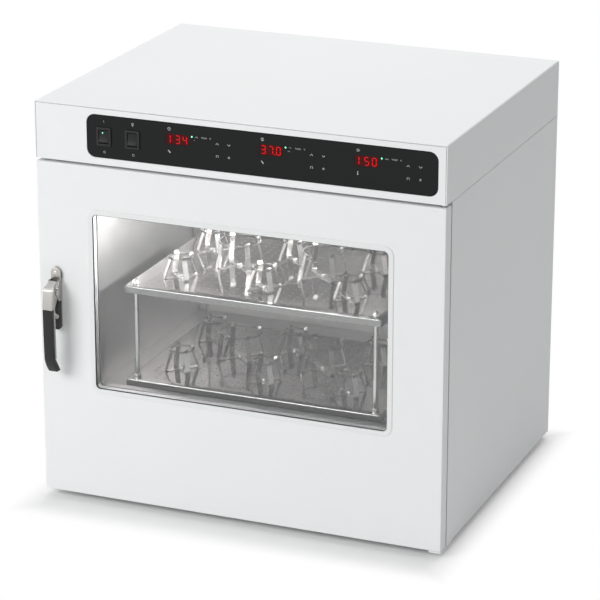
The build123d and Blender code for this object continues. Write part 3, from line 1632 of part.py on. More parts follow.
# Temperature probe: a rod through the back of the liner and the baffle.
with BuildPart() as temperature_probe:
    with BuildSketch(facing_front(y_baffle - probe_reach)):
        with Locations((probe_x, z_floor + probe_height)):
            Circle(probe_radius)
    extrude(amount=-(probe_reach + y_fan_motor + 20.0 - y_baffle))

temperature_probe.part.label = "temperature_probe"
export_step(temperature_probe.part, "parts/temperature_probe.step")
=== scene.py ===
"""Looks for an incubated benchtop shaker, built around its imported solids.

The cabinet, hood, door and drive keep their solids and get finishes made of nodes. The trays, spring clamps,
latch, rockers, digits and printed symbols are modelled here, each riding on the body that carries it.
Every length is in metres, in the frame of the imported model: X to the right, Y to the back, Z up.
"""

import logging
import math
from dataclasses import dataclass
from enum import Enum
from typing import Callable, Iterable, Optional, Sequence

import bmesh
import bpy
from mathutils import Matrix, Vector

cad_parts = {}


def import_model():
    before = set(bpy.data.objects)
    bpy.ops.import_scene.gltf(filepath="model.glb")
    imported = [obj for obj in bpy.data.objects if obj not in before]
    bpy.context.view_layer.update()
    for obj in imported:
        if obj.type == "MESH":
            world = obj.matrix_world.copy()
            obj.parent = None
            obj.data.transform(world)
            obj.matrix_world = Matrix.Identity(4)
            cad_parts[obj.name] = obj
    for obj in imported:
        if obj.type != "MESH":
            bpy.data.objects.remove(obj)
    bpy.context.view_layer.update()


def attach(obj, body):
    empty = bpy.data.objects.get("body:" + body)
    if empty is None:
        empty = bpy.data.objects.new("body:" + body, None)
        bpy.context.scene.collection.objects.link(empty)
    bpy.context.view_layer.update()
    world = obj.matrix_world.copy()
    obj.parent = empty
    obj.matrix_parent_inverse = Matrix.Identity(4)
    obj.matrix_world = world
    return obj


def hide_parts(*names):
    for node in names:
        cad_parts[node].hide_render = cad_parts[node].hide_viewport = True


log = logging.getLogger("shaker")

Colour = tuple[float, float, float]
Point = tuple[float, float, float]
Flat = tuple[float, float]
MM = 0.001


def mm(*values: float) -> tuple[float, ...]:
    """Give lengths in millimetres as metres."""
    return tuple(value * MM for value in values)


# ---------------------------------------------------------------------------------------------- nodes


class Sheet:
    """A node tree with short calls to place nodes and to wire them."""

    def __init__(self, tree: bpy.types.NodeTree) -> None:
        """Args:
        tree: the node tree to work in; what it holds is cleared.
        """
        self.tree = tree
        tree.nodes.clear()

    def put(self, kind: str, inputs: Optional[dict] = None, **settings: object) -> bpy.types.Node:
        """Place a node.

        Args:
            kind: the node's class without its ShaderNode prefix.
            inputs: socket name or number to a plain value or to another node's output socket.
            settings: attributes of the node.

        Returns:
            The new node.
        """
        node = self.tree.nodes.new(kind if kind.startswith("NodeGroup") else "ShaderNode" + kind)
        for name, value in settings.items():
            setattr(node, name, value)
        for key, value in (inputs or {}).items():
            socket = node.inputs[key]
            if isinstance(value, bpy.types.NodeSocket):
                self.tree.links.new(value, socket)
            else:
                socket.default_value = value
        return node

    def ramp(self, value: bpy.types.NodeSocket, low: float, high: float) -> bpy.types.NodeSocket:
        """Map a 0 to 1 value to a range.

        Args:
            value: the value to map.
            low: the result at 0.
            high: the result at 1.

        Returns:
            The mapped value.
        """
        return self.put("MapRange", {"Value": value, "To Min": low, "To Max": high}).outputs["Result"]


def new_group(name: str, inputs: dict[str, float | tuple], outputs: dict[str, str]) -> tuple[Sheet, object, object]:
    """Start a shader node group.

    Args:
        name: the group's name.
        inputs: input name to its default; a tuple makes a colour socket, a number makes a value socket.
        outputs: output name to its socket type.

    Returns:
        The sheet of the group, its input node and its output node.
    """
    tree = bpy.data.node_groups.new(name, "ShaderNodeTree")
    for key, default in inputs.items():
        kind = "NodeSocketColor" if isinstance(default, tuple) else "NodeSocketFloat"
        tree.interface.new_socket(key, in_out="INPUT", socket_type=kind).default_value = default
    for key, kind in outputs.items():
        tree.interface.new_socket(key, in_out="OUTPUT", socket_type=kind)
    sheet = Sheet(tree)
    return sheet, sheet.put("NodeGroupInput"), sheet.put("NodeGroupOutput")


class Effects:
    """Node groups that more than one finish uses."""

    def __init__(self) -> None:
        """Build every group once."""
        self.tone = self._tone()
        self.powder = self._powder()
        self.brushed = self._brushed()
        self.handling = self._handling()

    def _tone(self) -> bpy.types.NodeTree:
        """Slow changes of colour and gloss over a surface.

        Returns:
            A group with Color and Roughness outputs.
        """
        sheet, given, result = new_group(
            "surface_tone",
            {"Color": (0.8, 0.8, 0.8, 1.0), "Roughness": 0.4, "Scale": 6.0, "Shift": 0.05},
            {"Color": "NodeSocketColor", "Roughness": "NodeSocketFloat"},
        )
        place = sheet.put("TexCoord").outputs["Object"]
        cloud = sheet.put(
            "TexNoise", {"Vector": place, "Scale": given.outputs["Scale"], "Detail": 3.0, "Roughness": 0.55}
        ).outputs["Fac"]
        centred = sheet.put("Math", {0: cloud, 1: 0.5}, operation="SUBTRACT").outputs[0]
        change = sheet.put("Math", {0: centred, 1: given.outputs["Shift"]}, operation="MULTIPLY").outputs[0]
        gain = sheet.put("Math", {0: change, 1: 1.0}, operation="ADD").outputs[0]
        tinted = sheet.put("VectorMath", {0: given.outputs["Color"]}, operation="SCALE")
        sheet.tree.links.new(gain, tinted.inputs["Scale"])
        rough = sheet.put("Math", {0: given.outputs["Roughness"], 1: change}, operation="ADD").outputs[0]
        sheet.tree.links.new(tinted.outputs[0], result.inputs["Color"])
        sheet.tree.links.new(rough, result.inputs["Roughness"])
        return sheet.tree

    def _powder(self) -> bpy.types.NodeTree:
        """The orange peel of a powder coat or the texture of a moulding.

        Returns:
            A group with a Height output.
        """
        sheet, given, result = new_group(
            "powder_texture", {"Scale": 700.0, "Fine": 0.35}, {"Height": "NodeSocketFloat"}
        )
        place = sheet.put("TexCoord").outputs["Object"]
        peel = sheet.put(
            "TexNoise", {"Vector": place, "Scale": given.outputs["Scale"], "Detail": 2.0, "Roughness": 0.5}
        ).outputs["Fac"]
        finer = sheet.put("Math", {0: given.outputs["Scale"], 1: 3.1}, operation="MULTIPLY").outputs[0]
        grit = sheet.put("TexNoise", {"Vector": place, "Scale": finer, "Detail": 1.0}).outputs["Fac"]
        part = sheet.put("Math", {0: grit, 1: given.outputs["Fine"]}, operation="MULTIPLY").outputs[0]
        total = sheet.put("Math", {0: peel, 1: part}, operation="ADD").outputs[0]
        sheet.tree.links.new(total, result.inputs["Height"])
        return sheet.tree

    def _brushed(self) -> bpy.types.NodeTree:
        """Fine lines of a brushed metal, drawn out along one axis.

        Returns:
            A group with a Height output.
        """
        sheet, given, result = new_group(
            "brushed_lines",
            {"Along X": 1.0, "Along Y": 1.0, "Along Z": 1.0, "Scale": 900.0},
            {"Height": "NodeSocketFloat"},
        )
        place = sheet.put("TexCoord").outputs["Object"]
        stretch = sheet.put(
            "CombineXYZ",
            {"X": given.outputs["Along X"], "Y": given.outputs["Along Y"], "Z": given.outputs["Along Z"]},
        ).outputs[0]
        drawn = sheet.put("VectorMath", {0: place, 1: stretch}, operation="MULTIPLY").outputs[0]
        lines = sheet.put(
            "TexNoise", {"Vector": drawn, "Scale": given.outputs["Scale"], "Detail": 3.0, "Roughness": 0.7}
        ).outputs["Fac"]
        sheet.tree.links.new(lines, result.inputs["Height"])
        return sheet.tree

    def _handling(self) -> bpy.types.NodeTree:
        """Faint wiped smudges that change the gloss.

        Returns:
            A group with a Roughness output.
        """
        sheet, given, result = new_group(
            "handling_marks", {"Roughness": 0.3, "Scale": 35.0, "Amount": 0.08}, {"Roughness": "NodeSocketFloat"}
        )
        place = sheet.put("TexCoord").outputs["Object"]
        warp = sheet.put("TexNoise", {"Vector": place, "Scale": 4.0, "Detail": 2.0}).outputs["Color"]
        bent = sheet.put("Mix", {"Factor": 0.15, "A": place, "B": warp}, data_type="VECTOR").outputs["Result"]
        smears = sheet.put(
            "TexNoise", {"Vector": bent, "Scale": given.outputs["Scale"], "Detail": 5.0, "Roughness": 0.62}
        ).outputs["Fac"]
        part = sheet.put("Math", {0: smears, 1: given.outputs["Amount"]}, operation="MULTIPLY").outputs[0]
        total = sheet.put("Math", {0: given.outputs["Roughness"], 1: part}, operation="ADD").outputs[0]
        sheet.tree.links.new(total, result.inputs["Roughness"])
        return sheet.tree


class Grain(Enum):
    """How the fine surface of a finish is made."""

    SMOOTH = "smooth"
    POWDER = "powder"
    BRUSHED_X = "brushed along x"
    BRUSHED_Y = "brushed along y"
    BRUSHED_Z = "brushed along z"


@dataclass(frozen=True)
class Finish:
    """One surface finish, turned into a material of nodes by make()."""

    name: str
    colour: Colour
    roughness: float
    metallic: float = 0.0
    grain: Grain = Grain.POWDER
    grain_scale: float = 700.0
    grain_depth: float = 0.02
    tone_scale: float = 5.0
    tone_shift: float = 0.03
    smudges: float = 0.0
    coat: float = 0.0
    coat_roughness: float = 0.1
    specular: float = 0.5
    glow: Optional[Colour] = None
    glow_strength: float = 0.0

    def make(self, effects: Effects) -> bpy.types.Material:
        """Build the material.

        Args:
            effects: the shared node groups.

        Returns:
            The finished material.
        """
        material = bpy.data.materials.new(self.name)
        material.use_nodes = True
        sheet = Sheet(material.node_tree)
        tone = sheet.put(
            "Group",
            {},
            node_tree=effects.tone,
        )
        tone.inputs["Color"].default_value = (*self.colour, 1.0)
        tone.inputs["Roughness"].default_value = self.roughness
        tone.inputs["Scale"].default_value = self.tone_scale
        tone.inputs["Shift"].default_value = self.tone_shift
        rough = tone.outputs["Roughness"]
        if self.smudges > 0.0:
            marks = sheet.put("Group", {}, node_tree=effects.handling)
            sheet.tree.links.new(rough, marks.inputs["Roughness"])
            marks.inputs["Amount"].default_value = self.smudges
            rough = marks.outputs["Roughness"]
        shader = sheet.put(
            "BsdfPrincipled",
            {
                "Base Color": tone.outputs["Color"],
                "Roughness": rough,
                "Metallic": self.metallic,
                "Coat Weight": self.coat,
                "Coat Roughness": self.coat_roughness,
                "Specular IOR Level": self.specular,
            },
        )
        height = self._height(sheet, effects)
        if height is not None:
            bump = sheet.put("Bump", {"Height": height, "Strength": 1.0, "Distance": self.grain_depth * MM})
            sheet.tree.links.new(bump.outputs["Normal"], shader.inputs["Normal"])
        if self.glow is not None:
            shader.inputs["Emission Color"].default_value = (*self.glow, 1.0)
            shader.inputs["Emission Strength"].default_value = self.glow_strength
        out = sheet.put("OutputMaterial")
        sheet.tree.links.new(shader.outputs["BSDF"], out.inputs["Surface"])
        return material

    def _height(self, sheet: Sheet, effects: Effects) -> Optional[bpy.types.NodeSocket]:
        """Wire the grain's height.

        Args:
            sheet: the material's sheet.
            effects: the shared node groups.

        Returns:
            The height socket, or None for a smooth finish.
        """
        if self.grain is Grain.SMOOTH:
            return None
        if self.grain is Grain.POWDER:
            group = sheet.put("Group", {}, node_tree=effects.powder)
            group.inputs["Scale"].default_value = self.grain_scale
            return group.outputs["Height"]
        group = sheet.put("Group", {}, node_tree=effects.brushed)
        group.inputs["Scale"].default_value = self.grain_scale
        drawn = {Grain.BRUSHED_X: "Along X", Grain.BRUSHED_Y: "Along Y", Grain.BRUSHED_Z: "Along Z"}[self.grain]
        group.inputs[drawn].default_value = 0.02
        return group.outputs["Height"]


@dataclass(frozen=True)
class ClearGlass:
    """Window glass that lets light through to the chamber."""

    name: str = "clear_glass"
    colour: Colour = (0.975, 0.99, 0.985)
    shade: Colour = (0.74, 0.75, 0.75)
    roughness: float = 0.0
    ior: float = 1.45
    specular: float = 0.22

    def make(self, effects: Effects) -> bpy.types.Material:
        """Build the material.

        Args:
            effects: the shared node groups.

        Returns:
            The finished material.
        """
        material = bpy.data.materials.new(self.name)
        material.use_nodes = True
        sheet = Sheet(material.node_tree)
        marks = sheet.put("Group", {}, node_tree=effects.handling)
        marks.inputs["Roughness"].default_value = self.roughness
        marks.inputs["Amount"].default_value = 0.02
        shader = sheet.put(
            "BsdfPrincipled",
            {
                "Base Color": (*self.colour, 1.0),
                "Roughness": marks.outputs["Roughness"],
                "IOR": self.ior,
                "Specular IOR Level": self.specular,
                "Transmission Weight": 1.0,
            },
        )
        clear = sheet.put("BsdfTransparent", {"Color": (*self.shade, 1.0)})
        path = sheet.put("LightPath")
        either = sheet.put(
            "Math",
            {0: path.outputs["Is Shadow Ray"], 1: path.outputs["Is Diffuse Ray"]},
            operation="MAXIMUM",
        )
        mix = sheet.put("MixShader", {0: either.outputs[0], 1: shader.outputs["BSDF"], 2: clear.outputs["BSDF"]})
        out = sheet.put("OutputMaterial")
        sheet.tree.links.new(mix.outputs["Shader"], out.inputs["Surface"])
        return material


@dataclass(frozen=True)
class PunchedSteel:
    """Mirror-bright sheet, darkened as painted shade, with a painted highlight ring round each punched hole."""

    name: str = "mirror_tray_steel"
    # Painted shade: the steel is darker than bare stainless steel so that the trays look as dark as they do in shade
    # behind the glass.
    colour: Colour = (0.30, 0.287, 0.287)
    # Painted highlight: the lighter colour of the ring round each hole stands for light caught by the hole edges.
    painted_highlight: Colour = (0.48, 0.465, 0.465)
    roughness: float = 0.06
    ring_roughness: float = 0.20
    pitch: float = 15.0
    ring: float = 2.35
    ring_fade: float = 0.25
    centre_y: float = -44.25
    reach_x: float = 204.0

    def make(self, effects: Effects) -> bpy.types.Material:
        """Build the material.

        Args:
            effects: the shared node groups.

        Returns:
            The finished material.
        """
        material = bpy.data.materials.new(self.name)
        material.use_nodes = True
        sheet = Sheet(material.node_tree)
        place = sheet.put("TexCoord").outputs["Object"]
        halves = (self.pitch / 2, self.pitch / 2 - self.centre_y, 0.0)
        moved = sheet.put("VectorMath", {0: place, 1: mm(*halves)}, operation="ADD").outputs[0]
        flat = sheet.put("VectorMath", {0: moved, 1: (1.0, 1.0, 0.0)}, operation="MULTIPLY").outputs[0]
        wrapped = sheet.put(
            "VectorMath", {0: flat, 1: mm(self.pitch, self.pitch, self.pitch), 2: (0.0, 0.0, 0.0)}, operation="WRAP"
        ).outputs[0]
        middle = sheet.put(
            "VectorMath", {0: wrapped, 1: mm(self.pitch / 2, self.pitch / 2, 0.0)}, operation="SUBTRACT"
        ).outputs[0]
        far = sheet.put("VectorMath", {0: middle}, operation="LENGTH").outputs["Value"]
        near = sheet.put(
            "MapRange",
            {
                "Value": far,
                "From Min": self.ring * MM,
                "From Max": (self.ring + self.ring_fade) * MM,
                "To Min": 1.0,
                "To Max": 0.0,
            },
        ).outputs["Result"]
        positive = sheet.put("VectorMath", {0: place}, operation="ABSOLUTE").outputs[0]
        across = sheet.put("SeparateXYZ", {0: positive})
        inside = sheet.put("Math", {0: across.outputs[0], 1: self.reach_x * MM}, operation="LESS_THAN").outputs[0]
        painted_highlight_mask = sheet.put("Math", {0: near, 1: inside}, operation="MULTIPLY").outputs[0]
        tone = sheet.put("Group", {}, node_tree=effects.tone)
        tone.inputs["Color"].default_value = (*self.colour, 1.0)
        tone.inputs["Roughness"].default_value = self.roughness
        marks = sheet.put(
            "Group", {"Roughness": tone.outputs["Roughness"], "Amount": 0.06}, node_tree=effects.handling
        )
        # Painted highlight ring round each hole: lighter colour and rougher gloss where the mask is set.
        colour = sheet.put(
            "Mix", {"Factor": painted_highlight_mask, "A": tone.outputs["Color"], "B": (*self.painted_highlight, 1.0)}, data_type="RGBA"
        ).outputs["Result"]
        rough = sheet.put(
            "Mix", {"Factor": painted_highlight_mask, "A": marks.outputs["Roughness"], "B": self.ring_roughness}, data_type="FLOAT"
        ).outputs["Result"]
        lines = sheet.put("Group", {"Scale": 900.0, "Along X": 0.02}, node_tree=effects.brushed)
        bump = sheet.put("Bump", {"Height": lines.outputs["Height"], "Strength": 1.0, "Distance": 0.003 * MM})
        shader = sheet.put(
            "BsdfPrincipled",
            {"Base Color": colour, "Roughness": rough, "Metallic": 1.0, "Normal": bump.outputs["Normal"]},
        )
        out = sheet.put("OutputMaterial")
        sheet.tree.links.new(shader.outputs["BSDF"], out.inputs["Surface"])
        return material


class Finishes:
    """All finishes of the object, made when first asked for."""

    LIST: tuple[object, ...] = (
        Finish("white_powder_coat", (0.80, 0.812, 0.818), 0.52, grain_scale=520.0, grain_depth=0.012, specular=0.4),
        Finish("white_window_band", (0.77, 0.785, 0.785), 0.42, grain_depth=0.004, tone_shift=0.02, specular=0.4),
        Finish(
            "chamber_steel", (0.62, 0.60, 0.60), 0.40, 1.0, Grain.BRUSHED_Z, 500.0, 0.02,
            tone_shift=0.08, smudges=0.08,
        ),
        # Painted shade: the same stainless steel as the chamber, darkened because the rear of the chamber lies in
        # shade.
        Finish(
            "baffle_steel", (0.25, 0.242, 0.242), 0.34, 1.0, Grain.BRUSHED_Z, 500.0, 0.02,
            tone_shift=0.10, smudges=0.08,
        ),
        Finish("door_inner_steel", (0.60, 0.59, 0.585), 0.30, 1.0, Grain.BRUSHED_X, 600.0, 0.012, smudges=0.06),
        PunchedSteel(),
        Finish("bright_spring_steel", (0.50, 0.49, 0.48), 0.24, 1.0, Grain.BRUSHED_Z, 800.0, 0.004, smudges=0.05),
        Finish("spacer_steel", (0.74, 0.72, 0.73), 0.42, 1.0, Grain.BRUSHED_Z, 500.0, 0.01, smudges=0.05),
        Finish("polished_post_steel", (0.66, 0.65, 0.645), 0.16, 1.0, Grain.BRUSHED_Z, 900.0, 0.004, smudges=0.05),
        Finish("zinc_plate", (0.60, 0.615, 0.63), 0.38, 1.0, Grain.POWDER, 260.0, 0.010, tone_shift=0.12),
        Finish("machined_alloy", (0.68, 0.68, 0.69), 0.34, 1.0, Grain.BRUSHED_X, 700.0, 0.010, tone_shift=0.06),
        Finish("dark_cast_iron", (0.055, 0.057, 0.060), 0.55, 0.3, Grain.POWDER, 320.0, 0.08, tone_shift=0.12),
        Finish(
            "satin_nickel", (0.50, 0.485, 0.465), 0.33, 1.0, Grain.POWDER, 900.0, 0.006, tone_shift=0.06, smudges=0.06
        ),
        Finish("black_panel_film", (0.0085, 0.009, 0.0092), 0.42, grain_scale=1500.0, grain_depth=0.006, specular=0.16),
        Finish(
            "dark_spring_wire", (0.15, 0.143, 0.14), 0.26, 1.0, grain=Grain.SMOOTH, tone_scale=30.0, tone_shift=0.1
        ),
        Finish("latch_grip_black", (0.026, 0.026, 0.026), 0.45, grain_scale=900.0, grain_depth=0.03, specular=0.22),
        Finish("black_bezel", (0.022, 0.0225, 0.023), 0.42, grain_scale=1200.0, grain_depth=0.012, specular=0.22),
        Finish("black_moulding", (0.026, 0.027, 0.028), 0.46, grain_scale=1100.0, grain_depth=0.02),
        Finish("black_rocker", (0.016, 0.0165, 0.017), 0.40, grain_scale=1300.0, grain_depth=0.012, specular=0.2),
        # Painted glow: the filter itself gives off a dim red light, though it is no lamp.
        Finish(
            "display_filter", (0.020, 0.002, 0.002), 0.22, grain=Grain.SMOOTH, smudges=0.04, specular=0.12,
            glow=(1.0, 0.03, 0.035), glow_strength=0.048,
        ),
        Finish(
            "red_segment", (0.30, 0.01, 0.01), 0.4, grain=Grain.SMOOTH, specular=0.1,
            glow=(1.0, 0.012, 0.016), glow_strength=0.38,
        ),
        Finish("green_light", (0.2, 0.7, 0.5), 0.3, grain=Grain.SMOOTH, glow=(0.30, 1.0, 0.62), glow_strength=1.1),
        Finish("pale_print", (0.46, 0.47, 0.47), 0.5, grain=Grain.SMOOTH),
        Finish("green_lacquer", (0.03, 0.16, 0.07), 0.35, grain_scale=400.0, grain_depth=0.02, coat=0.3),
        Finish("black_rubber", (0.022, 0.022, 0.022), 0.72, grain_scale=800.0, grain_depth=0.05),
        Finish("grey_seal_rubber", (0.22, 0.22, 0.22), 0.62, grain_scale=900.0, grain_depth=0.03),
        Finish("mineral_board", (0.62, 0.56, 0.40), 0.92, grain_scale=160.0, grain_depth=0.4, tone_shift=0.25),
        Finish("sintered_bronze", (0.45, 0.29, 0.12), 0.42, 1.0, grain_scale=1200.0, grain_depth=0.01),
        ClearGlass(),
    )

    def __init__(self) -> None:
        """Build the shared groups and index the list."""
        self.effects = Effects()
        self.known = {finish.name: finish for finish in self.LIST}
        self.made: dict[str, bpy.types.Material] = {}

    def get(self, name: str) -> bpy.types.Material:
        """Args:
            name: a finish's name.

        Returns:
            Its material.
        """
        if name not in self.made:
            self.made[name] = self.known[name].make(self.effects)
        return self.made[name]

    def dress(self, name: str, *nodes: str) -> None:
        """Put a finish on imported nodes.

        Args:
            name: the finish.
            nodes: the nodes that wear it.
        """
        for node in nodes:
            for slot in bpy.data.objects[node].material_slots:
                slot.material = self.get(name)


# ------------------------------------------------------------------------------------------- modelling


class Bench:
    """Modelling operators, used on one piece at a time."""

    @staticmethod
    def clear() -> None:
        """Leave edit mode and deselect everything."""
        if bpy.context.object is not None and bpy.context.object.mode != "OBJECT":
            bpy.ops.object.mode_set(mode="OBJECT")
        bpy.ops.object.select_all(action="DESELECT")

    @classmethod
    def only(cls, piece: bpy.types.Object) -> None:
        """Make one piece the selected and active one."""
        cls.clear()
        piece.select_set(True)
        bpy.context.view_layer.objects.active = piece

    @classmethod
    def edit(cls, piece: bpy.types.Object, mode: str = "FACE") -> None:
        """Enter edit mode on a piece with nothing selected.

        Args:
            piece: the piece.
            mode: VERT, EDGE or FACE.
        """
        cls.only(piece)
        bpy.ops.object.mode_set(mode="EDIT")
        bpy.ops.mesh.select_mode(type=mode)
        bpy.ops.mesh.select_all(action="DESELECT")

    @classmethod
    def pick(cls, piece: bpy.types.Object, mode: str, test: Callable[[object], bool]) -> int:
        """Select parts of a piece in edit mode by a test.

        Args:
            piece: the piece, which is put in edit mode.
            mode: VERT, EDGE or FACE.
            test: says whether a bmesh element is wanted.

        Returns:
            How many elements were selected.
        """
        cls.edit(piece, mode)
        grid = bmesh.from_edit_mesh(piece.data)
        parts = {"VERT": grid.verts, "EDGE": grid.edges, "FACE": grid.faces}[mode]
        wanted = [part for part in parts if test(part)]
        for part in wanted:
            part.select_set(True)
        grid.select_flush_mode()
        bmesh.update_edit_mesh(piece.data)
        return len(wanted)

    @classmethod
    def trace(cls, name: str, points: Sequence[Point], depth: Point) -> bpy.types.Object:
        """Trace a closed outline point by point, fill it and draw it out.

        Args:
            name: the piece's name.
            points: the corners, in order.
            depth: the vector by which the face is drawn out; zero leaves a flat face.

        Returns:
            The new piece.
        """
        piece = cls.path(name, points)
        bpy.ops.mesh.select_all(action="SELECT")
        bpy.ops.mesh.edge_face_add()
        if Vector(depth).length > 0.0:
            bpy.ops.mesh.select_all(action="SELECT")
            bpy.ops.mesh.extrude_region_move(TRANSFORM_OT_translate={"value": depth})
        cls.tidy(piece)
        return piece

    @classmethod
    def path(cls, name: str, points: Sequence[Point]) -> bpy.types.Object:
        """Trace an open line of edges.

        Args:
            name: the piece's name.
            points: the line's points, in order.

        Returns:
            The new piece, in edit mode with its last point selected.
        """
        cls.clear()
        bpy.ops.mesh.primitive_plane_add(size=MM, location=(0.0, 0.0, 0.0))
        piece = bpy.context.object
        piece.name = name
        bpy.ops.object.mode_set(mode="EDIT")
        bpy.ops.mesh.select_mode(type="VERT")
        bpy.ops.mesh.select_all(action="SELECT")
        bpy.ops.mesh.merge(type="CENTER")
        bpy.ops.transform.translate(value=points[0])
        for here, there in zip(points, points[1:]):
            step = Vector(there) - Vector(here)
            bpy.ops.mesh.extrude_region_move(TRANSFORM_OT_translate={"value": step})
        return piece

    @classmethod
    def lathe(cls, name: str, profile: Sequence[Flat], steps: int) -> bpy.types.Object:
        """Turn a profile round the Z axis.

        Args:
            name: the piece's name.
            profile: (radius, height) points from the bottom to the top; both ends lie on the axis.
            steps: how many steps make a turn.

        Returns:
            The new piece.
        """
        piece = cls.path(name, [(radius, 0.0, height) for radius, height in profile])
        bpy.ops.mesh.select_all(action="SELECT")
        bpy.ops.mesh.spin(steps=steps, angle=math.tau, center=(0.0, 0.0, 0.0), axis=(0.0, 0.0, 1.0))
        cls.tidy(piece)
        return piece

    @classmethod
    def tidy(cls, piece: bpy.types.Object) -> None:
        """Merge doubles, turn the faces out and leave edit mode."""
        if piece.mode != "EDIT":
            cls.edit(piece)
        bpy.ops.mesh.select_all(action="SELECT")
        bpy.ops.mesh.remove_doubles(threshold=0.002 * MM)
        bpy.ops.mesh.normals_make_consistent(inside=False)
        bpy.ops.object.mode_set(mode="OBJECT")

    @classmethod
    def soften(cls, node: str, name: str, width: float) -> bpy.types.Object:
        """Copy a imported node, merge its mesh and round its sharp edges.

        Args:
            node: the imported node.
            name: the copy's name.
            width: the width of the rounding in millimetres.

        Returns:
            The rounded copy.
        """
        cls.clear()
        piece = bpy.data.objects.new(name, bpy.data.objects[node].data.copy())
        bpy.context.scene.collection.objects.link(piece)
        cls.edit(piece)
        bpy.ops.mesh.select_all(action="SELECT")
        bpy.ops.mesh.remove_doubles(threshold=0.002 * MM)
        bpy.ops.mesh.dissolve_limited(angle_limit=math.radians(1.0))
        bpy.ops.object.mode_set(mode="OBJECT")
        cls.apply(
            piece, "BEVEL", width=width * MM, segments=2, limit_method="ANGLE", angle_limit=math.radians(50.0)
        )
        return piece

    @classmethod
    def bevel(
        cls, piece: bpy.types.Object, width: float, test: Callable[[object], bool], segments: int = 3
    ) -> None:
        """Round chosen edges.

        Args:
            piece: the piece.
            width: the width of the rounding.
            test: says which edges are rounded.
            segments: how many steps it has.
        """
        if cls.pick(piece, "EDGE", test):
            bpy.ops.mesh.bevel(offset=width, segments=segments, affect="EDGES", clamp_overlap=True)
        bpy.ops.object.mode_set(mode="OBJECT")

    @classmethod
    def apply(cls, piece: bpy.types.Object, kind: str, **settings: object) -> None:
        """Add a modifier and apply it.

        Args:
            piece: the piece.
            kind: the modifier's type.
            settings: its attributes.
        """
        cls.only(piece)
        bpy.ops.object.modifier_add(type=kind)
        modifier = piece.modifiers[-1]
        for key, value in settings.items():
            setattr(modifier, key, value)
        bpy.ops.object.modifier_apply(modifier=modifier.name)

    @classmethod
    def turn(cls, piece: bpy.types.Object, angle: float, axis: str) -> None:
        """Turn a piece about an axis through the origin and settle it."""
        cls.only(piece)
        bpy.ops.object.transform_apply(location=True, rotation=True, scale=True)
        setattr(piece, "rotation_euler", [angle if axis == name else 0.0 for name in "XYZ"])
        bpy.ops.object.transform_apply(location=True, rotation=True, scale=True)

    @classmethod
    def shift(cls, piece: bpy.types.Object, by: Point) -> None:
        """Move a piece and settle it."""
        cls.only(piece)
        piece.location = Vector(by)
        bpy.ops.object.transform_apply(location=True, rotation=True, scale=True)

    @classmethod
    def copy(cls, piece: bpy.types.Object, by: Point = (0.0, 0.0, 0.0)) -> bpy.types.Object:
        """Copy a piece with a mesh of its own and move the copy."""
        cls.only(piece)
        bpy.ops.object.duplicate(linked=False)
        twin = bpy.context.object
        cls.shift(twin, by)
        return twin

    @classmethod
    def join(cls, name: str, pieces: Sequence[bpy.types.Object]) -> bpy.types.Object:
        """Join pieces into one.

        Args:
            name: the name of the result.
            pieces: what is joined.

        Returns:
            The joined piece.
        """
        cls.clear()
        for piece in pieces:
            piece.select_set(True)
        bpy.context.view_layer.objects.active = pieces[0]
        if len(pieces) > 1:
            bpy.ops.object.join()
        whole = bpy.context.object
        whole.name = name
        return whole

    @classmethod
    def scatter(cls, name: str, pattern: bpy.types.Object, places: Iterable[Point]) -> bpy.types.Object:
        """Copy a pattern piece to each place, join the copies and drop the pattern.

        Args:
            name: the name of the result.
            pattern: the piece that is repeated, modelled at the origin.
            places: where the copies go.

        Returns:
            The joined piece.
        """
        copies = [cls.copy(pattern, place) for place in places]
        bpy.data.objects.remove(pattern)
        return cls.join(name, copies)


@dataclass
class Fitting:
    """Hands a finished piece to the frame and says so in the log."""

    finishes: Finishes

    def fit(
        self,
        piece: bpy.types.Object,
        finish: str,
        body: str,
        slot: str,
        replaces: Sequence[str] = (),
        smooth: float = 32.0,
    ) -> bpy.types.Object:
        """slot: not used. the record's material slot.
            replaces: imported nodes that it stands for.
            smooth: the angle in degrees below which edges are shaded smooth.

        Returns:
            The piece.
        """
        Bench.only(piece)
        bpy.ops.object.transform_apply(location=True, rotation=True, scale=True)
        bpy.ops.object.shade_smooth_by_angle(angle=math.radians(smooth))
        piece.data.materials.clear()
        piece.data.materials.append(self.finishes.get(finish))
        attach(piece, body)
        if replaces:
            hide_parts(*replaces)
        log.info("%s rides on %s (%d faces)", piece.name, body, len(piece.data.polygons))
        return piece


# ---------------------------------------------------------------------------------------------- studio


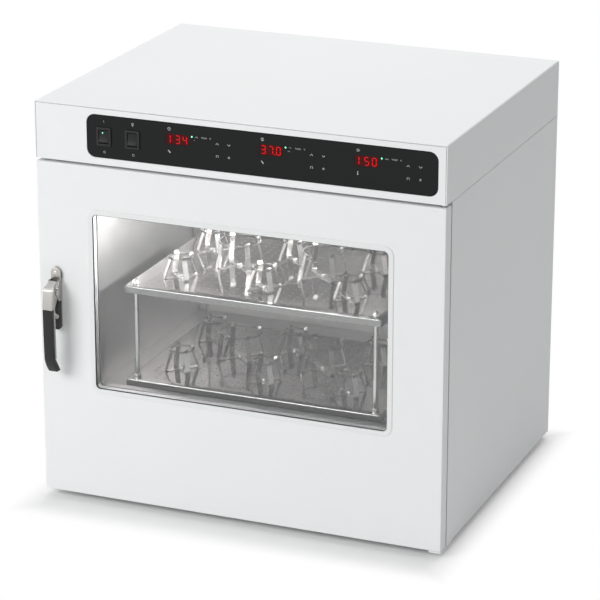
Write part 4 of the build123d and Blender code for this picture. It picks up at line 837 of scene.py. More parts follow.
@dataclass
class Studio:
    """Camera, floor, background and lights."""

    camera_place: Point = (1.72226, -4.20383, 1.88369)
    camera_tilt: float = 70.861
    camera_turn: float = 22.26
    lens: float = 172.12
    sensor: float = 36.0
    floor_size: float = 12.0
    floor_colour: Colour = (0.93, 0.93, 0.93)
    footprint: Flat = (0.325, 0.285)
    shadow_reach: float = 0.07
    ambient: float = 0.352
    key_power: float = 295.0
    top_power: float = 43.0
    chamber_power: float = 7.0

    def build(self) -> None:
        """Make everything that isn't part of the object."""
        self._camera()
        self._floor()
        self._world()
        self._lamp("key_light", (-3.4, -5.5, 3.7), (0.0, 0.0, 0.35), 3.4, self.key_power)
        self._lamp("top_light", (0.0, 0.9, 3.3), (0.0, 0.0, 0.3), 2.4, self.top_power)
        self._lamp("chamber_light", (0.08, -0.04, 0.528), (-0.30, -0.04, 0.528), 0.30, self.chamber_power, 0.04)

    def _camera(self) -> None:
        """Stand the camera where the photograph was taken."""
        bpy.ops.object.camera_add(
            location=self.camera_place,
            rotation=(math.radians(self.camera_tilt), 0.0, math.radians(self.camera_turn)),
        )
        camera = bpy.context.object
        camera.data.lens = self.lens
        camera.data.sensor_width = self.sensor
        camera.data.clip_start = 0.1
        camera.data.clip_end = 60.0
        bpy.context.scene.camera = camera

    def _floor(self) -> None:
        """Lay a pale floor that looks white to the camera away from the object's shadow."""
        bpy.ops.mesh.primitive_grid_add(x_subdivisions=4, y_subdivisions=4, size=self.floor_size)
        floor = bpy.context.object
        floor.name = "studio_floor"
        material = bpy.data.materials.new("studio_floor")
        material.use_nodes = True
        sheet = Sheet(material.node_tree)
        place = sheet.put("TexCoord").outputs["Object"]
        speck = sheet.put("TexNoise", {"Vector": place, "Scale": 3.0, "Detail": 2.0}).outputs["Fac"]
        rough = sheet.ramp(speck, 0.62, 0.74)
        shader = sheet.put("BsdfPrincipled", {"Base Color": (*self.floor_colour, 1.0), "Roughness": rough})
        white = sheet.put("Emission", {"Color": (1.0, 1.0, 1.0, 1.0), "Strength": 1.0})
        positive = sheet.put("VectorMath", {0: place}, operation="ABSOLUTE").outputs[0]
        sides = sheet.put("SeparateXYZ", {0: positive})
        beyond = [
            sheet.put("Math", {0: sides.outputs[axis], 1: self.footprint[axis]}, operation="SUBTRACT").outputs[0]
            for axis in (0, 1)
        ]
        far = sheet.put("Math", {0: beyond[0], 1: beyond[1]}, operation="MAXIMUM").outputs[0]
        fade = sheet.put(
            "MapRange", {"Value": far, "From Max": self.shadow_reach}, interpolation_type="SMOOTHSTEP"
        ).outputs["Result"]
        path = sheet.put("LightPath")
        seen = sheet.put(
            "Math", {0: path.outputs["Is Camera Ray"], 1: path.outputs["Is Glossy Ray"]}, operation="MAXIMUM"
        ).outputs[0]
        seen = sheet.put("Math", {0: seen, 1: path.outputs["Is Transmission Ray"]}, operation="MAXIMUM").outputs[0]
        total = sheet.put("Math", {0: seen, 1: fade}, operation="MULTIPLY").outputs[0]
        mix = sheet.put("MixShader", {0: total, 1: shader.outputs["BSDF"], 2: white.outputs["Emission"]})
        out = sheet.put("OutputMaterial")
        sheet.tree.links.new(mix.outputs["Shader"], out.inputs["Surface"])
        floor.data.materials.append(material)

    def _world(self) -> None:
        """Even light all round, and white where the camera, a mirror or glass looks past the floor."""
        world = bpy.data.worlds.new("studio_world")
        bpy.context.scene.world = world
        world.use_nodes = True
        sheet = Sheet(world.node_tree)
        path = sheet.put("LightPath")
        seen = sheet.put(
            "Math", {0: path.outputs["Is Camera Ray"], 1: path.outputs["Is Transmission Ray"]}, operation="MAXIMUM"
        ).outputs[0]
        seen = sheet.put("Math", {0: seen, 1: path.outputs["Is Glossy Ray"]}, operation="MAXIMUM").outputs[0]
        strength = sheet.ramp(seen, self.ambient, 1.0)
        light = sheet.put("Background", {"Color": (1.0, 1.0, 1.0, 1.0), "Strength": strength})
        out = sheet.put("OutputWorld")
        sheet.tree.links.new(light.outputs["Background"], out.inputs["Surface"])

    @staticmethod
    def _lamp(
        name: str, place: Point, target: Point, size: float, power: float, height: Optional[float] = None
    ) -> None:
        """Hang a soft lamp.

        Args:
            name: the lamp's name.
            place: where it hangs.
            target: where it points.
            size: its width.
            power: its power in watts.
            height: its height, which is its width when none is given.
        """
        bpy.ops.object.light_add(type="AREA", location=place)
        lamp = bpy.context.object
        lamp.name = name
        lamp.data.shape = "RECTANGLE"
        lamp.data.size = size
        lamp.data.size_y = height or size
        lamp.data.energy = power
        lamp.rotation_euler = (Vector(target) - Vector(place)).to_track_quat("-Z", "Y").to_euler()


# ------------------------------------------------------------------------------------------- the object


@dataclass
class Trays:
    """Two trays with turned-down rims and a grid of round holes, and the nuts on their four posts."""

    fitting: Fitting
    width: float = 450.0
    depth: float = 316.0
    centre_y: float = -44.25
    tops: tuple[float, float] = (207.0, 369.0)
    rim: float = 12.0
    sheet: float = 2.0
    edge: float = 2.4
    pitch: float = 15.0
    hole: float = 2.1
    columns: int = 27
    rows: int = 19
    post_x: float = 210.5
    post_y: float = 143.5
    nut: float = 6.5
    collar: float = 6.0
    collar_levels: tuple[float, float] = (207.0, 361.0)

    def build(self) -> None:
        """Make the trays and their nuts."""
        tray = self._tray()
        trays = Bench.scatter("tray_sheets", tray, [mm(0.0, self.centre_y, top) for top in self.tops])
        self.fitting.fit(trays, "mirror_tray_steel", "platform", "stainless_steel", ["platform_trays"])
        corners = [
            (x, self.centre_y + y) for x in (-self.post_x, self.post_x) for y in (-self.post_y, self.post_y)
        ]
        collars = Bench.scatter(
            "post_collars", self._collar(), [mm(x, y, z) for x, y in corners for z in self.collar_levels]
        )
        self.fitting.fit(collars, "polished_post_steel", "platform", "bright_steel", ["post_nuts"])
        caps = Bench.scatter("post_cap_nuts", self._cap_nut(), [mm(x, y, self.tops[1]) for x, y in corners])
        self.fitting.fit(caps, "polished_post_steel", "platform", "bright_steel")

    def _cell(self) -> bpy.types.Object:
        """One cell of the grid with its hole.

        Returns:
            A flat square with a round hole in the middle.
        """
        Bench.clear()
        bpy.ops.mesh.primitive_plane_add(size=self.pitch * MM, location=(0.0, 0.0, 0.0))
        cell = bpy.context.object
        Bench.edit(cell)
        bpy.ops.mesh.select_all(action="SELECT")
        bpy.ops.mesh.subdivide(number_cuts=2)
        Bench.pick(cell, "VERT", lambda vertex: max(abs(vertex.co.x), abs(vertex.co.y)) < self.pitch * 0.4 * MM)
        bpy.ops.mesh.delete(type="VERT")
        bpy.ops.mesh.primitive_circle_add(vertices=12, radius=self.hole * MM, location=(0.0, 0.0, 0.0))
        bpy.ops.mesh.select_all(action="SELECT")
        bpy.ops.mesh.bridge_edge_loops()
        Bench.tidy(cell)
        return cell

    def _tray(self) -> bpy.types.Object:
        """A tray round the origin, its top at height zero.

        Returns:
            The tray with its holes, rim and sheet thickness.
        """
        tray = self._cell()
        tray.name = "tray_pattern"
        for count, step in ((self.columns, (self.pitch * MM, 0.0, 0.0)), (self.rows, (0.0, self.pitch * MM, 0.0))):
            Bench.apply(
                tray, "ARRAY", count=count, use_relative_offset=False, use_constant_offset=True,
                constant_offset_displace=step, use_merge_vertices=True, merge_threshold=0.01 * MM,
            )
        Bench.shift(tray, mm(-self.pitch * (self.columns - 1) / 2, -self.pitch * (self.rows - 1) / 2, 0.0))
        grid_x = self.pitch * self.columns / 2 * MM
        grid_y = self.pitch * self.rows / 2 * MM
        half_x, half_y = self.width / 2 * MM, self.depth / 2 * MM
        near = 0.05 * MM

        def on_rim(edge: object, x: float, y: float) -> bool:
            """Whether an edge lies on the outline of a rectangle."""
            first, second = edge.verts[0].co, edge.verts[1].co
            return any(
                abs(abs(first[axis]) - reach) < near and abs(second[axis] - first[axis]) < near
                for axis, reach in ((0, x), (1, y))
            )

        Bench.pick(tray, "EDGE", lambda edge: on_rim(edge, grid_x, grid_y))
        bpy.ops.mesh.extrude_edges_move()
        bpy.ops.transform.resize(value=(half_x / grid_x, half_y / grid_y, 1.0), center_override=(0.0, 0.0, 0.0))
        bpy.ops.mesh.extrude_edges_move(TRANSFORM_OT_translate={"value": (0.0, 0.0, -self.rim * MM)})
        Bench.tidy(tray)
        Bench.bevel(
            tray, self.edge * MM,
            lambda edge: (
                all(abs(v.co.z) < near for v in edge.verts) and on_rim(edge, half_x, half_y)
            ) or (
                abs(edge.verts[0].co.z - edge.verts[1].co.z) > near
                and abs(abs(edge.verts[0].co.x) - half_x) < near
                and abs(abs(edge.verts[0].co.y) - half_y) < near
            ),
            segments=4,
        )
        Bench.apply(tray, "SOLIDIFY", thickness=self.sheet * MM, offset=-1.0)
        return tray

    def _collar(self) -> bpy.types.Object:
        """A hexagon nut with its lowest face at height zero."""
        Bench.clear()
        bpy.ops.mesh.primitive_cylinder_add(
            vertices=6, radius=self.nut * MM, depth=self.collar * MM,
            location=(0.0, 0.0, self.collar / 2 * MM), rotation=(0.0, 0.0, math.radians(30.0)),
        )
        nut = bpy.context.object
        bpy.ops.object.transform_apply(location=True, rotation=True, scale=True)
        Bench.bevel(nut, 0.7 * MM, lambda edge: True, segments=2)
        return nut

    def _cap_nut(self) -> bpy.types.Object:
        """A domed nut on a hexagon.

        Returns:
            The nut with its lowest face at height zero.
        """
        hexagon = self._collar()
        Bench.only(hexagon)
        hexagon.scale = (1.0, 1.0, 0.7)
        bpy.ops.object.transform_apply(location=True, rotation=True, scale=True)
        radius, low, rise = 5.3, self.collar * 0.7 - 0.3, 4.9
        arc = [(radius * math.cos(a), low + rise * math.sin(a)) for a in (0.0, 0.3, 0.6, 0.9, 1.2, 1.4)]
        dome = Bench.lathe(
            "cap_dome", [mm(*point) for point in [(0.0, low), *arc, (0.0, low + rise)]], 20
        )
        return Bench.join("cap_pattern", [hexagon, dome])


@dataclass(frozen=True)
class ClampSize:
    """The sizes of one kind of spring clamp, and where its copies stand in hole pitches."""

    name: str
    base: float
    ring: float
    height: float
    places: tuple[Flat, ...]


@dataclass
class SpringClamps:
    """Pressed clamps with four spring fingers, a coiled ring round them and a screw in the middle."""

    fitting: Fitting
    tops: tuple[float, float] = (207.0, 369.0)
    centre_y: float = -44.25
    pitch: float = 15.0
    sheet: float = 1.2
    finger: float = 8.5
    bend: float = 3.0
    tip: float = 5.0
    spring: float = 1.6
    wire: float = 0.42
    coil_pitch: float = 1.75
    seat: float = 0.3
    hook: float = 2.3
    screw: float = 4.6
    screw_height: float = 3.5
    sizes: tuple[ClampSize, ...] = (
        ClampSize(
            "small", 29.5, 19.0, 35.0, ((-10.5, -5.5), (-0.5, -5.5), (9.5, -5.5), (-11, 4.5), (-1, 4.5), (9, 4.5))
        ),
        ClampSize("large", 41.0, 34.5, 44.0, ((-6, 0.5), (4, 0.5))),
    )

    def build(self) -> None:
        """Make every clamp."""
        screws = []
        for size in self.sizes:
            places = [
                mm(self.pitch * column, self.centre_y + self.pitch * row, top)
                for top in self.tops
                for column, row in size.places
            ]
            replaced = ["finger_clamps"] if size is self.sizes[0] else []
            fingers = Bench.scatter(f"{size.name}_clamp_fingers", self._fingers(size), places)
            self.fitting.fit(fingers, "bright_spring_steel", "platform", "bright_steel", replaced, smooth=40.0)
            replaced = ["clamp_rings"] if size is self.sizes[0] else []
            rings = Bench.scatter(f"{size.name}_clamp_springs", self._spring(size), places)
            self.fitting.fit(rings, "dark_spring_wire", "platform", "bright_steel", replaced, smooth=60.0)
            screws += places
        heads = Bench.scatter("clamp_screw_heads", self.screw_head(self.screw, self.screw_height), [
            (x, y, z + self.sheet * MM) for x, y, z in screws
        ])
        self.fitting.fit(heads, "polished_post_steel", "platform", "bright_steel", ["clamp_screws"])

    def _fingers(self, size: ClampSize) -> bpy.types.Object:
        """The pressed sheet: a square with four arms that bend up, lean in and flare.

        Args:
            size: the clamp's sizes.

        Returns:
            The sheet round the origin, its underside at height zero.
        """
        middle, half = self.sheet / 2, self.finger / 2
        grip = size.ring - self.spring - self.seat
        line = [
            (half, middle), (size.base - self.bend, middle), (size.base - middle, self.bend),
            (grip - middle, size.height), (grip + self.tip - middle, size.height + self.tip),
        ]
        arm = Bench.path("clamp_arm", [mm(reach, -half, rise) for reach, rise in line])
        bpy.ops.mesh.select_all(action="SELECT")
        bpy.ops.mesh.extrude_edges_move(TRANSFORM_OT_translate={"value": mm(0.0, self.finger, 0.0)})
        Bench.tidy(arm)
        Bench.bevel(
            arm, 1.6 * MM,
            lambda edge: abs(edge.verts[0].co.y - edge.verts[1].co.y) > self.finger * 0.9 * MM
            and not edge.is_boundary,
            segments=4,
        )
        highest = (size.height + self.tip) * MM
        if Bench.pick(arm, "VERT", lambda vertex: abs(vertex.co.z - highest) < 0.01 * MM):
            bpy.ops.mesh.bevel(offset=2.2 * MM, segments=3, affect="VERTICES")
        bpy.ops.object.mode_set(mode="OBJECT")
        arms = [arm]
        for quarter in (1, 2, 3):
            twin = Bench.copy(arm)
            Bench.turn(twin, quarter * math.pi / 2, "Z")
            arms.append(twin)
        Bench.clear()
        bpy.ops.mesh.primitive_plane_add(size=self.finger * MM, location=mm(0.0, 0.0, middle))
        arms.append(bpy.context.object)
        sheet = Bench.join("clamp_sheet", arms)
        Bench.turn(sheet, math.pi / 4, "Z")
        Bench.tidy(sheet)
        Bench.apply(sheet, "SOLIDIFY", thickness=self.sheet * MM, offset=0.0)
        return sheet

    def _spring(self, size: ClampSize) -> bpy.types.Object:
        """A coil spring closed to a ring, with a wire loop at each finger.

        Args:
            size: the clamp's sizes.

        Returns:
            The ring at its height above the origin.
        """
        length = math.tau * size.ring
        turns = round(length / self.coil_pitch)
        Bench.clear()
        bpy.ops.mesh.primitive_circle_add(
            vertices=5, radius=self.wire * MM, location=mm(0.0, 0.0, self.spring - self.wire),
            rotation=(math.pi / 2, 0.0, 0.0),
        )
        coil = bpy.context.object
        bpy.ops.object.transform_apply(location=True, rotation=True, scale=True)
        Bench.apply(
            coil, "SCREW", axis="X", screw_offset=length / turns * MM, iterations=turns, steps=7, render_steps=7
        )
        Bench.shift(coil, mm(-length / 2, 0.0, 0.0))
        closing = math.tau * (1.0 + 2.0 * self.wire / length)
        Bench.apply(coil, "SIMPLE_DEFORM", deform_method="BEND", deform_axis="Z", angle=closing)
        corners = [tuple(vertex.co) for vertex in coil.data.vertices]
        centre = (Vector(map(min, zip(*corners))) + Vector(map(max, zip(*corners)))) / 2
        Bench.shift(coil, (-centre.x, -centre.y, size.height * MM))
        Bench.tidy(coil)
        loops = [coil]
        for quarter in range(4):
            loop = self._hook(size)
            Bench.turn(loop, math.pi / 4 + quarter * math.pi / 2, "Z")
            loops.append(loop)
        return Bench.join("clamp_spring", loops)

    def _hook(self, size: ClampSize) -> bpy.types.Object:
        """The wire loop that holds the spring at a finger.

        Args:
            size: the clamp's sizes.

        Returns:
            An open loop on the outer side of the ring, towards X.
        """
        Bench.clear()
        out = size.ring + self.spring + 0.2
        bpy.ops.mesh.primitive_circle_add(
            vertices=6, radius=self.wire * MM, location=mm(out + self.hook, 0.0, size.height),
            rotation=(0.0, 0.0, 0.0),
        )
        loop = bpy.context.object
        bpy.ops.object.transform_apply(location=True, rotation=True, scale=True)
        Bench.edit(loop, "EDGE")
        bpy.ops.mesh.select_all(action="SELECT")
        bpy.ops.mesh.spin(
            steps=14, angle=math.radians(310.0), center=mm(out, 0.0, size.height), axis=(0.0, 1.0, 0.0)
        )
        bpy.ops.mesh.select_all(action="SELECT")
        bpy.ops.mesh.fill_holes(sides=8)
        Bench.tidy(loop)
        return loop

    @staticmethod
    def screw_head(radius: float, height: float) -> bpy.types.Object:
        """A pan head with a socket.

        Args:
            radius: the head's radius in millimetres.
            height: its height in millimetres.

        Returns:
            The head, its underside at height zero.
        """
        Bench.clear()
        bpy.ops.mesh.primitive_cylinder_add(
            vertices=18, radius=radius * MM, depth=height * MM, location=mm(0.0, 0.0, height / 2)
        )
        head = bpy.context.object
        bpy.ops.object.transform_apply(location=True, rotation=True, scale=True)
        Bench.bevel(
            head, radius * 0.28 * MM, lambda edge: all(v.co.z > (height - 0.01) * MM for v in edge.verts), segments=3
        )
        Bench.pick(
            head, "FACE", lambda face: face.normal.z > 0.99 and face.calc_center_median().z > height * 0.9 * MM
        )
        bpy.ops.mesh.inset(thickness=radius * 0.2 * MM)
        bpy.ops.mesh.extrude_region_move(TRANSFORM_OT_translate={"value": mm(0.0, 0.0, -height * 0.55)})
        bpy.ops.object.mode_set(mode="OBJECT")
        return head


@dataclass
class DoorLatch:
    """The latch on the left of the door: base and cover on the door, lever and grip on their own body."""

    fitting: Fitting
    centre_x: float = -317.7
    width: float = 17.2
    door_y: float = -262.25
    pivot_z: float = 375.4
    foot: float = -74.4
    cover_top: float = -24.4
    cover_round: float = 4.5
    head_bottom: float = 12.8
    top: float = 31.8
    plate: float = 6.5
    cheek: float = 1.1
    hub: float = 14.8
    body: float = 12.0

    def build(self) -> None:
        """Make every piece of the latch."""
        metal = [self._face_plate(), *self._cheeks()]
        base = Bench.join("latch_base_plate", metal)
        self.fitting.fit(base, "satin_nickel", "door", "satin_nickel", ["latch_base"])
        self.fitting.fit(self._cover(), "black_moulding", "door", "black_plastic", ["latch_cover"])
        self.fitting.fit(self._lock(), "polished_post_steel", "door", "bright_steel")
        self.fitting.fit(self._screw(), "polished_post_steel", "door", "bright_steel")
        self.fitting.fit(self._lever(), "satin_nickel", "latch", "satin_nickel", ["latch_lever"])
        self.fitting.fit(self._grip(), "latch_grip_black", "latch", "black_plastic", ["latch_grip"])

    def _side(self, name: str, outline: Sequence[Flat], left: float, right: float) -> bpy.types.Object:
        """Draw a side outline out across the latch.

        Args:
            name: the piece's name.
            outline: (out from the door, height above the pivot) points.
            left: how far the left face lies from the middle.
            right: how far the right face lies from the middle.

        Returns:
            The new piece.
        """
        points = [mm(self.centre_x + left, self.door_y - out, self.pivot_z + rise) for out, rise in outline]
        return Bench.trace(name, points, mm(right - left, 0.0, 0.0))

    def _face_plate(self) -> bpy.types.Object:
        """The back plate with its thicker round-topped head.

        Returns:
            The plate, on the door.
        """
        half, centre = self.width / 2, self.top - self.width / 2
        arc = [
            (half * math.cos(math.radians(angle)), centre + half * math.sin(math.radians(angle)))
            for angle in range(0, 181, 12)
        ]
        pieces = []
        for name, low, depth in (("latch_back", self.foot + 5.0, 3.0), ("latch_head", self.head_bottom, self.plate)):
            outline = [(-half, low), (half, low), *arc]
            points = [mm(self.centre_x + x, self.door_y, self.pivot_z + z) for x, z in outline]
            plate = Bench.trace(name, points, mm(0.0, -depth, 0.0))
            front = self.door_y - depth + 0.01
            Bench.bevel(plate, 0.8 * MM, lambda edge, y=front: all(v.co.y < y * MM for v in edge.verts), segments=3)
            pieces.append(plate)
        return Bench.join("latch_plates", pieces)

    def _cheeks(self) -> list[bpy.types.Object]:
        """The two ears that hold the lever's pin.

        Returns:
            The left and the right cheek.
        """
        half = self.width / 2
        outline = [
            (2.0, self.cover_top + 1.0), (self.body, self.cover_top + 1.0), (self.body + 3.4, -17.5), (24.0, -2.6),
            (24.0, 2.6), (self.body + 3.0, 13.2), (self.body - 1.0, self.head_bottom - 0.6), (2.0, self.head_bottom),
        ]
        cheeks = []
        for left in (-half, half - self.cheek):
            cheek = self._side("latch_cheek", outline, left, left + self.cheek)
            Bench.bevel(cheek, 0.5 * MM, lambda edge: True, segments=2)
            cheeks.append(cheek)
        return cheeks

    def _cover(self) -> bpy.types.Object:
        """The black cover below the pivot, round at its lower end.

        Returns:
            The cover, on the door.
        """
        half, low, high, corner = self.width / 2 - 0.4, self.foot + 1.4, self.cover_top, self.cover_round
        outline = [(-half, high)]
        for side, angles in ((-1.0, range(0, 91, 15)), (1.0, range(90, -1, -15))):
            outline += [
                (side * (half - corner + corner * math.cos(math.radians(a))), low + corner - corner * math.sin(
                    math.radians(a))) for a in angles
            ]
        outline.append((half, high))
        points = [mm(self.centre_x + x, self.door_y - 3.0, self.pivot_z + z) for x, z in outline]
        cover = Bench.trace("latch_lower_cover", points, mm(0.0, 3.0 - self.body, 0.0))
        Bench.bevel(
            cover, 2.2 * MM, lambda edge: all(v.co.y < (self.door_y - self.body + 0.01) * MM for v in edge.verts),
            segments=4,
        )
        return cover

    def _lock(self) -> bpy.types.Object:
        """The small key cylinder in the cover.

        Returns:
            The cylinder's ring and plug.
        """
        profile = [
            (0.0, -1.0), (4.3, -1.0), (4.3, 0.9), (3.9, 1.3), (3.3, 1.3), (3.0, 0.6), (0.9, 0.6), (0.7, 0.2), (0.0, 0.2)
        ]
        lock = Bench.lathe("latch_lock", [mm(*point) for point in profile], 28)
        Bench.turn(lock, math.pi / 2, "X")
        Bench.shift(lock, mm(self.centre_x + 2.6, self.door_y - self.body, self.pivot_z - 49.5))
        return lock

    def _screw(self) -> bpy.types.Object:
        """The screw in the round head."""
        screw = SpringClamps.screw_head(3.1, 1.5)
        screw.name = "latch_screw"
        Bench.turn(screw, math.pi / 2, "X")
        Bench.shift(screw, mm(self.centre_x, self.door_y - self.plate, self.pivot_z + self.top - self.width / 2))
        return screw

    def _lever(self) -> bpy.types.Object:
        """The cast lever: hub, arm, the bar behind the grip and the tail with its nose.

        Returns:
            The lever at rest.
        """
        half, hub = self.width / 2, self.hub / 2
        head = self._side("latch_hub", [
            (15.5, 12.2), (20.7, 9.6), (32.7, 5.0), (36.0, 1.2), (36.9, -12.0), (17.6, -12.0), (14.7, -6.0),
            (14.7, 8.0),
        ], -hub, hub)
        Bench.bevel(head, 0.9 * MM, lambda edge: edge.calc_length() > 3.0 * MM, segments=3)
        arm = self._side("latch_arm", [
            (26.6, 7.2), (32.7, 5.0), (36.3, 1.2), (39.5, -31.6), (28.0, -31.6), (18.6, -18.6), (26.6, -3.0)
        ], -half, half)
        Bench.bevel(arm, 1.1 * MM, lambda edge: edge.calc_length() > 3.0 * MM, segments=4)
        bar = self._side("latch_bar", [
            (28.0, -30.0), (32.4, -30.0), (32.0, -75.6), (31.0, -117.0), (26.9, -118.6), (27.3, -75.6)
        ], -half + 0.1, half - 0.05)
        back = -226.75 - self.door_y
        tail = self._side("latch_tail", [
            (20.7, -4.0), (-back + 3.0, -4.0), (-back, 0.0), (-back, 8.0), (-back + 4.0, 8.0), (-back + 4.0, 4.0),
            (20.7, 4.0),
        ], -2.0, 2.0)
        return Bench.join("latch_lever_metal", [head, arm, bar, tail])

    def _grip(self) -> bpy.types.Object:
        """The soft sleeve, its end turned in towards the door.

        Returns:
            The grip at rest.
        """
        half = self.width / 2
        grip = self._side("latch_grip_sleeve", [
            (39.5, -31.6), (39.2, -73.6), (37.9, -117.6), (31.5, -131.6), (24.0, -141.6), (13.5, -141.6),
            (18.0, -134.1), (26.9, -120.6), (31.0, -116.6), (32.0, -75.6), (32.4, -31.6),
        ], -half, half)
        for rise in (-73.6, -117.6, -131.6):
            level = (self.pivot_z + rise) * MM
            Bench.bevel(
                grip, 5.0 * MM,
                lambda edge, z=level: all(abs(v.co.z - z) < 0.01 * MM for v in edge.verts),
                segments=4,
            )
        Bench.bevel(
            grip, 1.3 * MM,
            lambda edge: len(edge.link_faces) == 2
            and any(abs(abs(face.normal.x) - 1.0) < 0.01 for face in edge.link_faces),
            segments=3,
        )
        return grip


@dataclass
class Rockers:
    """The two rocker switches with their bezels."""

    fitting: Fitting
    centres: tuple[float, float] = (-227.3, -177.3)
    centre_z: float = 635.8
    pin_y: float = -260.75
    width: float = 17.0
    tilt: float = -7.0

    def build(self) -> None:
        """Make both rockers, their bezels and the lamp in the first."""
        for body, centre in zip(("mains_rocker", "lamp_rocker"), self.centres):
            rocker = self._rocker(body + "_face")
            Bench.shift(rocker, mm(centre, self.pin_y, self.centre_z))
            self.fitting.fit(rocker, "black_rocker", body, "black_plastic", [body])
        profile = ((0.0, -0.3), (1.25, -0.3), (1.2, 0.15), (0.8, 0.4), (0.0, 0.5))
        lens = Bench.lathe("mains_lens", [mm(*point) for point in profile], 16)
        Bench.turn(lens, math.pi / 2, "X")
        Bench.shift(lens, mm(-2.1, -2.62, 6.0))
        Bench.turn(lens, math.radians(self.tilt), "X")
        Bench.shift(lens, mm(self.centres[0], self.pin_y, self.centre_z))
        self.fitting.fit(lens, "green_light", "mains_rocker", "clear_glass")
        bezels = Bench.soften("switch_housings", "switch_bezels", 0.55)
        self.fitting.fit(bezels, "black_bezel", "cabinet", "black_plastic", ["switch_housings"])

    def _rocker(self, name: str) -> bpy.types.Object:
        """A rocker about its pin at the origin, tilted to rest.

        Args:
            name: the piece's name.

        Returns:
            The rocker.
        """
        outline = [(-3.5, 10.0), (-1.9, 0.0), (-3.5, -10.0), (1.5, -9.5), (5.0, -3.0), (5.0, 3.0), (1.5, 9.5)]
        half = self.width / 2
        rocker = Bench.trace(name, [mm(-half, y, z) for y, z in outline], mm(self.width, 0.0, 0.0))
        Bench.bevel(
            rocker, 7.0 * MM, lambda edge: all(abs(v.co.z) < 0.01 * MM for v in edge.verts), segments=6
        )
        Bench.bevel(
            rocker, 0.8 * MM,
            lambda edge: all(v.co.y < -1.8 * MM for v in edge.verts) and edge.calc_face_angle(0.0) > 0.6,
            segments=3,
        )
        Bench.turn(rocker, math.radians(self.tilt), "X")
        return rocker


class Segment(Enum):
    """The seven bars of a digit: (across, up, upright), across and up in halves of the digit."""

    TOP = (0.0, 1.0, False)
    RIGHT_HIGH = (1.0, 0.5, True)
    RIGHT_LOW = (1.0, -0.5, True)
    BOTTOM = (0.0, -1.0, False)
    LEFT_LOW = (-1.0, -0.5, True)
    LEFT_HIGH = (-1.0, 0.5, True)
    MIDDLE = (0.0, 0.0, False)


DIGITS: dict[str, tuple[Segment, ...]] = {
    "0": tuple(s for s in Segment if s is not Segment.MIDDLE),
    "1": (Segment.RIGHT_HIGH, Segment.RIGHT_LOW),
    "3": tuple(s for s in Segment if s not in (Segment.LEFT_HIGH, Segment.LEFT_LOW)),
    "4": (Segment.LEFT_HIGH, Segment.MIDDLE, Segment.RIGHT_HIGH, Segment.RIGHT_LOW),
    "5": tuple(s for s in Segment if s not in (Segment.RIGHT_HIGH, Segment.LEFT_LOW)),
    "7": (Segment.TOP, Segment.RIGHT_HIGH, Segment.RIGHT_LOW),
}


@dataclass(frozen=True)
class Readout:
    """What one display and its printed marks show."""

    value: str
    point: bool
    units: tuple[str, ...]
    label: str
    sign: str


